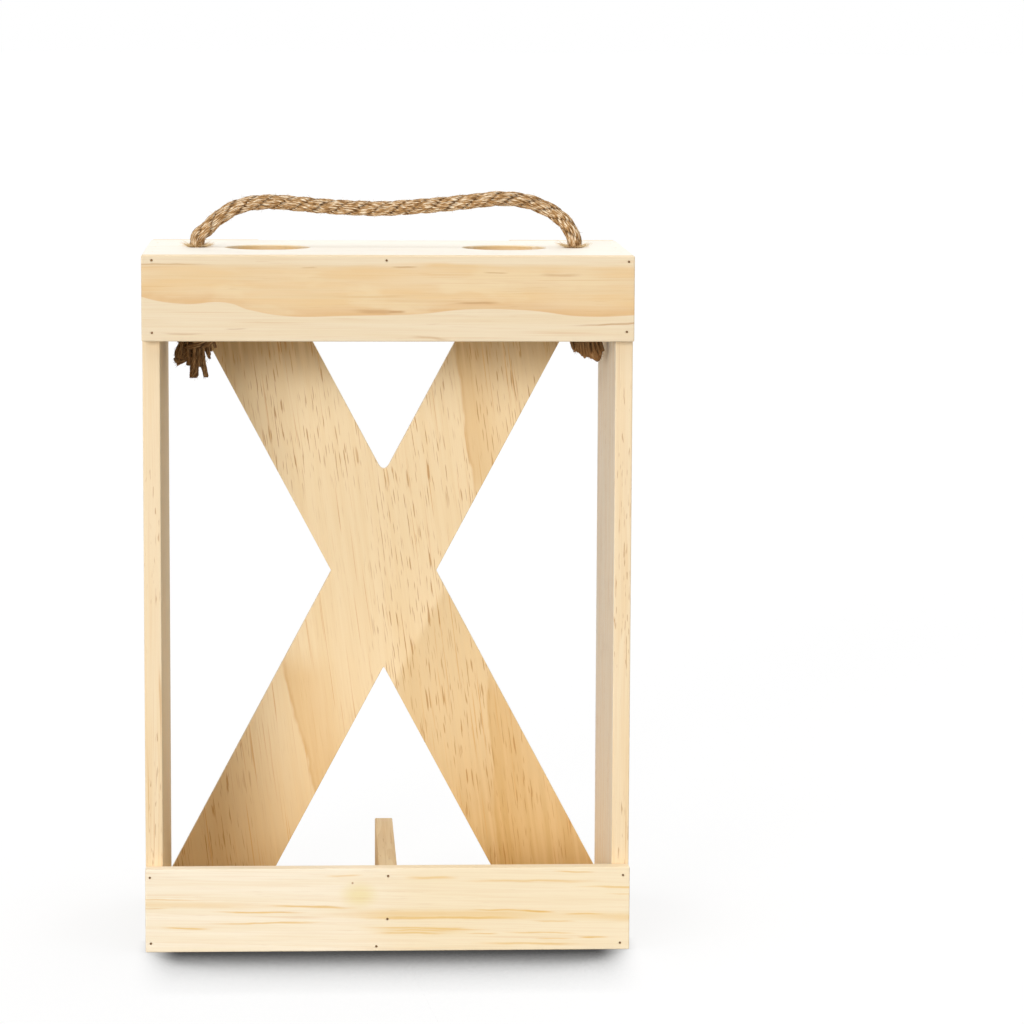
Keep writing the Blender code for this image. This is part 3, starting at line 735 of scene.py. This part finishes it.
jute_straw = jute("jute_straw", BLEACHED)
for piece, name, colours, painted_light in (
    (rope, "jute_rope", IN_LIGHT, 0.0),
    (left_knot, "jute_left_knot", IN_SHADE, 0.08),
    (right_knot, "jute_right_knot", IN_SHADE, 0.42),
):
    piece.data.materials.append(jute(name, colours, painted_light))
    piece.data.materials.append(jute_straw)
    print(piece.name, "is finished in", name)

# %% [markdown]
# ## Pine
#
# The boards are planed, unvarnished pine. A tree's rings are cylinders round its pith, and a board is a slice
# through them, so the pattern is made in the solid: the distance from a pith line somewhere beside the board
# gives broad soft bands on the faces, narrow lines on the edges and arcs on the cut ends, all of one piece.
# Over it lie long thin streaks of late wood, short dashes of opened resin canals, and a fine fibre that is
# really 0.05 mm wide and is drawn about 0.5 mm wide, so that it shows.

# %% Pine, cut from a ringed log
TURN_ALONG = {"X": (0.0, 0.0, 0.0), "Y": (0.0, 0.0, -math.pi / 2), "Z": (0.0, math.pi / 2, 0.0)}
DIRECTION = {"X": (1, 0, 0), "Y": (0, 1, 0), "Z": (0, 0, 1)}
LOG_STEP = 37.0  # along the log, from one board's seed to the next
PINE = {
    "pith": (15.0, -80.0),  # mm beside the board
    "lean": 0.0,  # of the grain, as an angle
    "ring": 6.0,  # mm from ring to ring
    "rings_show": 0.4,
    "cloud_show": 0.3,
    "fibre_show": 0.12,
    "cut_show": 0.45,
    "streaks": (70.0, 1.1),  # mm long and wide
    "streaks_show": 0.6,
    "streaks_from": 0.60,  # the higher, the fewer
    "dashes": (12.0, 0.6),
    "dashes_show": 0.4,
    "dashes_from": 0.64,
    "patches": (0.42, 0.58),  # the noise at which the marks start to show, and at which they all do
    "dashed_where": None,
}
# The two kinds of mark: how large the patches are that have them, and how soft their edges are
MARKS = {"streaks": ((60.0, 9.0, 9.0), 0.14), "dashes": ((45.0, 12.0, 12.0), 0.08)}


def pine(name, grain, colours, seed, also=None, **changes):
    """A pine finish. The colours are those of pale wood, a ring's tan, the streaks and the dashes."""
    look = {**PINE, **changes}
    pale, tan, late, dash = colours
    material, shader = new_finish(name)
    place = node("TexCoord").node.outputs
    turned = {"Vector": place["Object"], "Rotation": TURN_ALONG[grain], "Scale": PER_MM}
    in_log = {"Location": (LOG_STEP * seed, *look["pith"]), "Rotation": (0.0, look["lean"], 0.0)}
    point = node("Mapping", {"Vector": node("Mapping", turned), **in_log})
    end_on = node("VectorMath", place["Normal"], DIRECTION[grain], operation="DOT_PRODUCT", out="Value")
    end_grain = node("Smooth", node("ABSOLUTE", end_on), 0.6, 0.8)
    long_grain = node("SUBTRACT", 1.0, end_grain)

    across = node("VectorMath", point, (0, 1, 1), operation="MULTIPLY")
    radius = node("VectorMath", across, operation="LENGTH", out="Value")
    radius = node("ADD", radius, product(stretched(point, 120.0, 25.0, 25.0), 12.0))
    radius = node("ADD", radius, product(stretched(point, 25.0, 5.0, 5.0), 1.5))
    phase = node("FRACT", node("DIVIDE", radius, look["ring"]))
    ring = product((phase, 0.1, 0.9), (phase, 1.0, 0.93))
    band = stretched(point, 200.0, 18.0, 18.0, detail=1.0)
    colour = tinted(pale, tan, ring, (band, 0.38, 0.62), look["rings_show"])
    if also:
        colour = also(place["Object"], colour)

    cloud = stretched(point, 80.0, 2.5, 2.5, detail=3.0)
    colour = tinted(colour, tan, (cloud, 0.42, 0.68), look["cloud_show"])
    fibre = stretched(point, 35.0, 0.55, 0.55, detail=3.0)
    colour = tinted(colour, late, (fibre, 0.40, 0.70), look["fibre_show"])
    for kind, shade in (("streaks", late), ("dashes", dash)):
        patch_sizes, softness = MARKS[kind]
        length, width = look[kind]
        start = look[kind + "_from"]
        noise = stretched(point, length, width, width, detail=1.0)
        patches = stretched(point, *patch_sizes, detail=1.0)
        where = product((patches, *look["patches"]), long_grain)
        if kind == "dashes" and look["dashed_where"]:
            where = product(where, look["dashed_where"](place["Object"]))
        colour = tinted(colour, shade, (noise, start, start + softness), where, look[kind + "_show"])

    arcs = tinted(tan, late, ring, 0.8)
    cut = tinted(arcs, dash, (stretched(point, 0.8), 0.42, 0.72), 0.25)
    colour = tinted(colour, cut, end_grain, look["cut_show"])
    bump = node("Bump", {"Height": fibre, "Strength": 0.3, "Distance": 0.06 * MM})
    fill(shader, {"Base Color": colour, "Roughness": 0.62, "Specular IOR Level": 0.3, "Normal": bump})
    return material


def finish(name, material):
    """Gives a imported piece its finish, in place of its plain one."""
    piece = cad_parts[name]
    piece.data.materials.clear()
    piece.data.materials.append(material)


# %% [markdown]
# ## Streaks where the photograph has them
#
# The two rails face the viewer, and their long resin streaks are what tells one board from another. So each
# streak of a rail is drawn where it lies. A little noise keeps its edges from being ruled.

# %% Streaks along a rail
STREAK_FADE_SHARE = 0.35
STREAK_WOBBLE = 1.4 * MM


def drawn_streaks(place, colour, rail, streaks, shade):
    """The colour with each streak over it. A streak's row holds, in shares of the rail, where it starts and
    ends along it and how far down it lies at its two ends, then half its width in mm and its strength."""
    low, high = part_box(rail)
    long, tall = high.x - low.x, high.z - low.z
    wobble = node("SUBTRACT", stretched(in_millimetres(place), 14.0, 3.0, 3.0), 0.5)
    sides = node("SeparateXYZ", place).node.outputs
    z = node("ADD", sides["Z"], product(wobble, STREAK_WOBBLE))
    for start, end, down, down_at_end, width, strength in streaks:
        left, right = low.x + start * long, low.x + end * long
        heights = (high.z - down * tall, high.z - down_at_end * tall)
        line = node("MapRange", sides["X"], left, right, *heights)
        off = node("ABSOLUTE", node("SUBTRACT", z, line))
        fade = STREAK_FADE_SHARE * (right - left)
        along = product((sides["X"], left, left + fade), (sides["X"], right, right - fade))
        colour = tinted(colour, shade, (off, width * MM, 0.1 * width * MM), along, strength)
    return colour


# %% [markdown]
# ### The top rail
#
# The top rail shows a broad tan band of heartwood with a wavy lower edge. The edge's height along the rail is
# one curve, and the colour darkens a little just above it.

# %% Top rail
# Shares of the rail along it and down it
BAND_EDGE = (
    (0.00, 0.485),
    (0.09, 0.570),
    (0.16, 0.548),
    (0.22, 0.640),
    (0.30, 0.712),
    (0.42, 0.705),
    (0.56, 0.685),
    (0.66, 0.630),
    (0.78, 0.640),
    (0.90, 0.712),
    (1.00, 0.695),
)
BAND_TOP = 0.11
TOP_RAIL_STREAKS = (
    (-0.10, 0.157, 0.100, 0.100, 0.5, 0.60),
    (0.501, 0.563, 0.129, 0.129, 0.5, 0.80),
    (0.318, 0.359, 0.135, 0.135, 0.5, 0.50),
    (0.687, 0.748, 0.194, 0.194, 0.5, 0.45),
    (0.796, 0.899, 0.223, 0.223, 0.9, 0.45),
    (0.625, 0.734, 0.546, 0.546, 0.7, 0.55),
    (0.420, 0.540, 0.640, 0.655, 1.3, 0.45),
    (0.495, 0.538, 0.652, 0.652, 0.7, 0.60),
    (0.854, 1.100, 0.811, 0.765, 0.5, 0.70),
    (0.037, 0.132, 0.911, 0.911, 0.5, 0.50),
    (0.163, 0.219, 0.852, 0.852, 0.4, 0.40),
    (0.538, 0.631, 0.934, 0.981, 0.8, 0.40),
)


def heart_band(place, colour):
    """The top rail's tan band, with paler blotches in it, and its streaks."""
    sides = node("SeparateXYZ", place).node.outputs
    low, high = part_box("top_rail")
    along = node("MapRange", sides["X"], low.x, high.x)
    down = node("MapRange", sides["Z"], high.z, low.z)
    edge = node("FloatCurve", {"Value": along})
    points = edge.node.mapping.curves[0].points
    points[0].location, points[1].location = BAND_EDGE[0], BAND_EDGE[-1]
    for share_along, share_down in BAND_EDGE[1:-1]:
        points.new(share_along, share_down)
    edge.node.mapping.update()
    above = node("SUBTRACT", edge, down)
    millimetres = in_millimetres(place)
    cloud = stretched(millimetres, 45.0, 20.0, 6.0)
    clouded = node("ADD", down, product(cloud, 0.16))
    band = product((above, 0.0, 0.015), (clouded, BAND_TOP + 0.05, BAND_TOP + 0.12))
    colour = tinted(colour, "#ebc996", band, node("ADD", 0.10, product(cloud, 1.4)))
    colour = tinted(colour, "#dfb27c", band, (above, 0.16, 0.0), 0.7)
    blotch = stretched(millimetres, 30.0, 20.0, 11.0, detail=3.0)
    colour = tinted(colour, "#f1dab0", (blotch, 0.50, 0.66), band, 0.5)
    return drawn_streaks(place, colour, "top_rail", TOP_RAIL_STREAKS, "#bd8a55")


TOP_RAIL_COLOURS = ("#efdcbc", "#e9d0a6", "#d6a468", "#c58c50")
finish("top_rail", pine("pine_top_rail", "X", TOP_RAIL_COLOURS, 1, also=heart_band, rings_show=0.25,
                        cloud_show=0.35, streaks_show=0.25, dashes_show=0.12, fibre_show=0.11))
print("top rail:", len(TOP_RAIL_STREAKS), "streaks")

# %% [markdown]
# ### The bottom rail
#
# The bottom rail is the palest board, with long thin streaks of a clear yellow. A pin knot, where a thin twig
# grew, lies left of the middle, and its resin has stained the wood under it. Right of that the wood is a
# little yellower.

# %% Bottom rail
BOTTOM_RAIL_STREAKS = (
    (-0.35, 0.340, 0.390, 0.450, 2.3, 0.42),
    (-0.20, 0.160, 0.358, 0.372, 0.5, 0.60),
    (-0.08, 0.070, 0.474, 0.468, 0.4, 0.55),
    (0.230, 0.455, 0.440, 0.480, 0.7, 0.85),
    (0.125, 0.345, 0.512, 0.538, 0.6, 0.85),
    (0.115, 0.390, 0.662, 0.644, 0.6, 0.80),
    (0.025, 0.145, 0.695, 0.723, 0.6, 0.85),
    (0.365, 0.455, 0.084, 0.088, 0.6, 0.60),
    (0.330, 0.920, 0.540, 0.575, 3.2, 0.50),
    (0.400, 0.830, 0.596, 0.608, 0.9, 0.80),
    (0.790, 1.400, 0.570, 0.670, 2.8, 0.50),
    (0.760, 0.852, 0.512, 0.537, 0.8, 1.00),
    (0.660, 0.800, 0.498, 0.521, 0.5, 0.70),
    (0.855, 0.955, 0.565, 0.571, 0.6, 0.70),
    (0.430, 0.700, 0.752, 0.752, 2.4, 0.30),
    (0.425, 0.730, 0.712, 0.746, 0.7, 0.75),
    (0.480, 0.660, 0.756, 0.756, 0.5, 0.60),
    (0.455, 0.640, 0.786, 0.788, 0.6, 0.70),
    (0.655, 0.735, 0.788, 0.800, 0.5, 0.65),
    (0.725, 0.905, 0.785, 0.797, 0.6, 0.65),
    (0.785, 0.900, 0.645, 0.658, 0.5, 0.65),
    (0.795, 0.890, 0.858, 0.862, 0.5, 0.60),
    (0.888, 0.962, 0.842, 0.846, 0.5, 1.00),
    (0.660, 0.925, 0.912, 0.930, 0.8, 0.70),
    (0.525, 0.655, 0.118, 0.122, 1.0, 0.60),
    (0.630, 0.955, 0.158, 0.170, 0.8, 0.70),
    (0.835, 0.935, 0.048, 0.052, 0.6, 0.70),
    (0.865, 1.150, 0.236, 0.258, 0.8, 0.70),
    (0.940, 1.080, 0.322, 0.328, 0.5, 0.50),
)
# Where along the rail and down it, how flat, its reach and its soft edge in mm, its strength and its colour
BOTTOM_RAIL_SPOTS = (
    (0.4400, 0.320, 1.3, 10.5, 9.0, 0.60, "#efdb98"),
    (0.4265, 0.176, 1.0, 0.7, 0.5, 0.90, "#a3713c"),
)
YELLOWER_BETWEEN = (-25.0 * MM, 20.0 * MM)


def bottom_figure(place, colour):
    """The bottom rail's yellower end, its streaks, and a pin knot with a yellow stain under it."""
    low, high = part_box("bottom_rail")
    across = node("SeparateXYZ", place, out="X")
    colour = tinted(colour, "#f1d69c", (across, *YELLOWER_BETWEEN), 0.33)
    colour = drawn_streaks(place, colour, "bottom_rail", BOTTOM_RAIL_STREAKS, "#ecc271")
    for along, down, flatness, reach, softness, strength, shade in BOTTOM_RAIL_SPOTS:
        back = (-low.x - along * (high.x - low.x), 0.0, -high.z + down * (high.z - low.z))
        moved = node("VectorMath", place, back, operation="ADD")
        flat = node("VectorMath", moved, (1 / MM, 0.0, flatness / MM), operation="MULTIPLY")
        off = node("VectorMath", flat, operation="LENGTH", out="Value")
        colour = tinted(colour, shade, (off, reach, reach - softness), strength)
    return colour


BOTTOM_RAIL_COLOURS = ("#fdefd6", "#f3ddb5", "#dfac66", "#c08a4c")
finish("bottom_rail", pine("pine_bottom_rail", "X", BOTTOM_RAIL_COLOURS, 2, also=bottom_figure,
                           rings_show=0.30, cloud_show=0.25, streaks=(90.0, 1.5), streaks_show=0.25,
                           dashes_show=0.10, lean=-0.02))
print("bottom rail:", len(BOTTOM_RAIL_STREAKS), "streaks")

# %% [markdown]
# ### The other boards
#
# Each board is a slice from another part of the log, with its own pith line and seed. The top and the base
# lie level, so their grain runs along X; the sides stand, so theirs runs along Z; and the divider's runs from
# front to back. The saw leaves an edge darker and yellower than a planed face, most of all in the holes.
# The side boards' inner faces are planed paler, with painted shade on the left and painted light on the right.

# %% Other boards
NECK_HOLE_X = 52.0 * MM
SAWN_REACH = 19.0 * MM
SAWN_BELOW_Z = BOARD_TOP_Z - 0.6 * MM


def sawn_holes(place, colour):
    """The board's sawn edges, and the walls of the neck holes, where the saw has left the wood darker."""
    sides = node("SeparateXYZ", place).node.outputs
    from_hole = node("SUBTRACT", node("ABSOLUTE", sides["X"]), NECK_HOLE_X)
    level = node("CombineXYZ", from_hole, node("SUBTRACT", sides["Y"], MIDDLE_Y))
    reach = node("VectorMath", level, operation="LENGTH", out="Value")
    round_hole = node("LESS_THAN", reach, SAWN_REACH)
    below = node("LESS_THAN", sides["Z"], SAWN_BELOW_Z)
    colour = tinted(colour, "#f5deb2", (facing("Z"), 0.8, 0.5), 0.85)
    return tinted(colour, "#e0bb84", round_hole, below, 0.9)


def planed_and_painted_light(board, face_tone_and_painted_light):
    """For a side board, whose inner face is another tone than the rest of it: paler where planed, with painted
    shade on the left board and painted light on the right one.
    """
    low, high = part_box(board)
    middle = abs(low.x + high.x) / 2

    def planed_face_and_painted_light(place, colour):
        from_middle = node("ABSOLUTE", node("SeparateXYZ", place, out="X"))
        inner = node("LESS_THAN", from_middle, middle)
        return tinted(colour, face_tone_and_painted_light, (facing("X"), 0.6, 0.8), inner, 0.85)

    return planed_face_and_painted_light


TOP_BOARD_COLOURS = ("#faf5ea", "#f7eedc", "#eed9b5", "#cfa468")
BASE_BOARD_COLOURS = ("#f2dcb4", "#e6c797", "#cd9f62", "#b07c41")
SIDE_BOARD_COLOURS = ("#f6dfba", "#efd0a0", "#d9a96b", "#b98247")
DIVIDER_COLOURS = ("#e4cba0", "#d4b281", "#b98c54", "#9c6d3a")
finish("top_board", pine("pine_top_board", "X", TOP_BOARD_COLOURS, 3, also=sawn_holes, rings_show=0.25,
                         cloud_show=0.15, streaks_show=0.3, dashes_show=0.25, pith=(9.0, -330.0)))
finish("base_board", pine("pine_base_board", "X", BASE_BOARD_COLOURS, 4, rings_show=0.6, dashes_show=0.55))
for name, seed, pith_x, face in (
    # The left inner face gets painted shade, the right one painted light
    ("left_side_board", 5, 122.0, "#d5c5a5"),
    ("right_side_board", 6, -122.0, "#fff8ea"),
):
    finish(name, pine(f"pine_{name}", "Z", SIDE_BOARD_COLOURS, seed, also=planed_and_painted_light(name, face), rings_show=0.5,
                      pith=(pith_x, 16.0), dashes=(7.0, 0.6), dashes_show=0.6))
finish("divider", pine("pine_divider", "Y", DIVIDER_COLOURS, 7, ring=3.0))

# %% [markdown]
# ## The brace's plywood
#
# The X is sawn from one thin panel. Its face veneer is pine peeled from the log, so its grain stands nearly
# upright, with many short dashes and a few long thin lines. Where a ring leaves the veneer, the tone steps
# from pale to tan along a nearly upright edge, and there are three such edges here. The inner face is painted
# a deeper tan towards its feet and under the top, as painted shade, and paler on its upper arms, as painted
# light. Left of the crossing and down the left arm the wood is calm, with hardly a dash. The sawn edges are
# paler, with a slightly darker middle ply.

# %% Plywood
# Shares of the panel's thickness between which the middle ply lies, and half the width of a glue line
MIDDLE_PLY = (0.24, 0.76)
GLUE_LINE = 0.03
INNER_PAINTED_SHADE_AND_LIGHT = (
    # heights in mm at which a painted shade, or a painted light, starts and is full,
    #     its strength on the left and on the right, its colour
    # painted shade, darker towards the feet
    (95.0, 12.0, 0.42, 0.68, "#cba15a"),
    # painted light, paler on the upper arms
    (165.0, 225.0, 0.45, 0.05, "#ffeac2"),
    # painted shade, darker under the top
    (232.0, 256.0, 0.74, 0.50, "#ab8650"),
)
TONE_EDGES = (
    # x at the foot in mm, its change per mm of height, heights where it fades in and out, width
    (-20.5, -0.24, (28.0, 45.0), (118.0, 100.0), 30.0),
    (53.5, -0.06, (5.0, 15.0), (112.0, 88.0), 30.0),
    (67.0, -0.14, (170.0, 200.0), (300.0, 262.0), 24.0),
)
# The lower arm's tone starts past a line, on which ACROSS * x - UP * z + OFFSET is 0 in mm
LOW_ARM_ACROSS, LOW_ARM_UP, LOW_ARM_OFFSET = 0.887, 0.461, 43.0


def brace_figure(place, colour):
    """The tan zones that start sharply on their left, the inner face's painted shade and light, the sawn edges
    and the ply.
    """
    low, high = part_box("x_brace")
    sides = node("SeparateXYZ", place).node.outputs
    x, z = (node("DIVIDE", sides[axis], MM) for axis in "XZ")
    flat = node("CombineXYZ", node("DIVIDE", z, 3.0), x)
    ragged = product(node("SUBTRACT", stretched(flat, 9.0, detail=3.0), 0.5), 7.0)
    for foot, lean, rises, falls, width in TONE_EDGES:
        edge = node("ADD", node("ADD", product(z, lean), foot), ragged)
        past = node("SUBTRACT", x, edge)
        zone = product((past, -0.6, 1.2), (past, width, 3.0), (z, *rises), (z, *falls))
        colour = tinted(colour, "#e1b672", zone, 0.52)
        colour = tinted(colour, "#cf9a56", zone, (past, 2.5, 0.6), 0.35)
    share = node("MapRange", sides["Y"], low.y, high.y)
    inner = node("Smooth", share, 0.25, 0.1)
    slanted = node("SUBTRACT", product(x, LOW_ARM_ACROSS), product(z, LOW_ARM_UP))
    beyond = node("ADD", slanted, LOW_ARM_OFFSET)
    colour = tinted(colour, "#d3b073", inner, (beyond, 0.0, 4.0), 0.38)
    right = node("Smooth", x, -40.0, 40.0)
    # Painted shade towards the feet and under the top, painted light on the upper arms
    for empty, full, on_left, on_right, shade in INNER_PAINTED_SHADE_AND_LIGHT:
        strength = node("ADD", product(right, on_right - on_left), on_left)
        colour = tinted(colour, shade, inner, (z, empty, full), strength)
    colour = tinted(colour, "#fcf1db", (facing("Y"), 0.8, 0.5), 0.7)
    start, end = MIDDLE_PLY
    past_start = (share, start - GLUE_LINE, start + GLUE_LINE)
    before_end = (share, end + GLUE_LINE, end - GLUE_LINE)
    return tinted(colour, "#d9b480", past_start, before_end, 0.30)


def away_from_calm_wood(place):
    """1 where the veneer has its dashes, and little left of the crossing and down the left arm."""
    sides = node("SeparateXYZ", place).node.outputs
    left = (sides["X"], 2.0 * MM, -10.0 * MM)
    not_at_foot = (sides["X"], -68.0 * MM, -56.0 * MM)
    low = (sides["Z"], 200.0 * MM, 182.0 * MM)
    return node("SUBTRACT", 1.0, product(left, not_at_foot, low, 0.85))


PLYWOOD_COLOURS = ("#fbe5bd", "#f2d6a5", "#dba75f", "#bb8441")
finish("x_brace", pine("pine_plywood", "Z", PLYWOOD_COLOURS, 8, also=brace_figure, pith=(40.0, 60.0),
                       ring=16.0, rings_show=0.35, cloud_show=0.30, fibre_show=0.07, cut_show=0.1, lean=0.13,
                       streaks=(50.0, 0.8), streaks_show=0.65, streaks_from=0.62, dashes=(13.0, 0.62),
                       dashes_show=0.68, dashes_from=0.60, patches=(0.33, 0.50),
                       dashed_where=away_from_calm_wood))
print("brace:", len(TONE_EDGES), "tone edges and", len(INNER_PAINTED_SHADE_AND_LIGHT), "tones of its inner face")

# %% [markdown]
# ## Brads
#
# The brads are fine wire nails whose heads have gone brown in their holes.

# %% Brown steel
brad_steel, shader = new_finish("brown_wire_steel")
spots = stretched(node("TexCoord", out="Object"), 0.4 * MM)
colour = tinted("#6b5138", "#977552", (spots, 0.4, 0.6))
fill(shader, {"Base Color": colour, "Metallic": 1.0, "Roughness": 0.5})
brads = [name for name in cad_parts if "_nail_" in name]
for name in brads:
    finish(name, brad_steel)
print(len(brads), "brads finished")

# %% [markdown]
# ## The floor
#
# The floor is pale, and looks plain white to the camera. Where wood comes near it, a painted contact shade
# darkens it: its ambient occlusion node paints shade into the floor's colour and glow, over the contact shade
# that soft light leaves. Most of it shows along the crate's front edge, as in the photograph, so beside and
# behind the crate it is nearly all taken off.

# %% Floor
CONTACT_REACH = 80.0 * MM
BESIDE_X = (90.0, 110.0)
BEHIND_Y = (-58.0, -33.0)
FLOOR_DROP = 0.2 * MM
FLOOR_RADIUS = 30.0
# How near the wood is, from 0 where it touches to 1 where it is far, and the floor's painted shade there
SHADE_STOPS = ((0.50, 0.07), (0.62, 0.10), (0.74, 0.27), (0.80, 0.46), (0.86, 0.70), (0.92, 0.94), (0.95, 1))

pale_floor, shader = new_finish("pale_floor")
camera_ray = node("LightPath", out="Is Camera Ray")
near_wood = node("AmbientOcclusion", {"Distance": CONTACT_REACH}, samples=8, out="AO")
contact = node("ValToRGB", near_wood)
stops = contact.node.color_ramp.elements
for count, (position, grey) in enumerate(SHADE_STOPS):
    stop = stops[0] if count == 0 else stops.new(position)
    stop.position, stop.color = position, (grey, grey, grey, 1)
stops.remove(stops[-1])
place = in_millimetres(node("TexCoord", out="Object"))
sides = node("SeparateXYZ", place).node.outputs
beside = node("Smooth", node("ABSOLUTE", sides["X"]), *BESIDE_X)
away = node("MAXIMUM", beside, node("Smooth", sides["Y"], *BEHIND_Y))
shade = tinted(contact, "#ffffff", away, 0.96)
seen_shade = tinted("#b8b8b8", shade, camera_ray)
fill(shader, {"Base Color": seen_shade, "Roughness": 0.9, "Specular IOR Level": 0.1})
# The floor's glow carries the painted contact shade
glow_with_painted_shade = node("Emission", {"Strength": 1.0, "Color": shade})
surface = node("MixShader", product(camera_ray, 0.85), shader.outputs[0], glow_with_painted_shade)
fill(pale_floor.node_tree.nodes["Material Output"], {"Surface": surface})
bm = bmesh.new()
bmesh.ops.create_circle(bm, cap_ends=True, radius=FLOOR_RADIUS, segments=64)
bmesh.ops.translate(bm, vec=(0, 0, -FLOOR_DROP), verts=bm.verts)
floor = piece_of("floor", bm)
floor.data.materials.append(pale_floor)

# %% [markdown]
# ## Lamps and world
#
# Three wide soft lamps and an even sky light the crate as a studio's soft boxes do. The key stands low in
# front, a little to the left, so it reaches the brace under the top rail and leaves the rail's soft shade
# along the brace's top. The second hangs over the crate, and the third stands behind it and leaves no glare
# on the top. The sky, too, is plain white to the camera and in reflections.

# %% Lamps and world
SKY_STRENGTH = 0.30
LAMPS = (
    # name, where it shines from, strength, width in degrees
    ("key", (-0.40, -1.0, 0.21), 1.63, 20),
    ("overhead", (0.0, -0.20, 1.0), 1.62, 80),
    ("back", (0.40, 1.0, 0.35), 1.45, 50),
)
for name, shines_from, strength, width in LAMPS:
    light = bpy.data.lights.new(name, "SUN")
    light.energy, light.angle = strength, math.radians(width)
    lamp = bpy.data.objects.new(name, light)
    bpy.context.scene.collection.objects.link(lamp)
    lamp.rotation_euler = Vector(shines_from).to_track_quat("Z", "Y").to_euler()
    lamp.visible_glossy = name != "back"

world = bpy.data.worlds.new("studio")
bpy.context.scene.world = world
world.use_nodes = True
in_hand["tree"] = world.node_tree
rays = node("LightPath").node.outputs
seen = node("ADD", rays["Is Camera Ray"], rays["Is Glossy Ray"])
seen = node("ADD", seen, rays["Is Transmission Ray"])
strength = node("MapRange", {"Value": seen, "To Min": SKY_STRENGTH, "To Max": 1.0})
fill(world.node_tree.nodes["Background"], {"Strength": strength, "Color": "#ffffff"})
bpy.context.scene.view_settings.view_transform = "Standard"
print(len(LAMPS), "lamps")
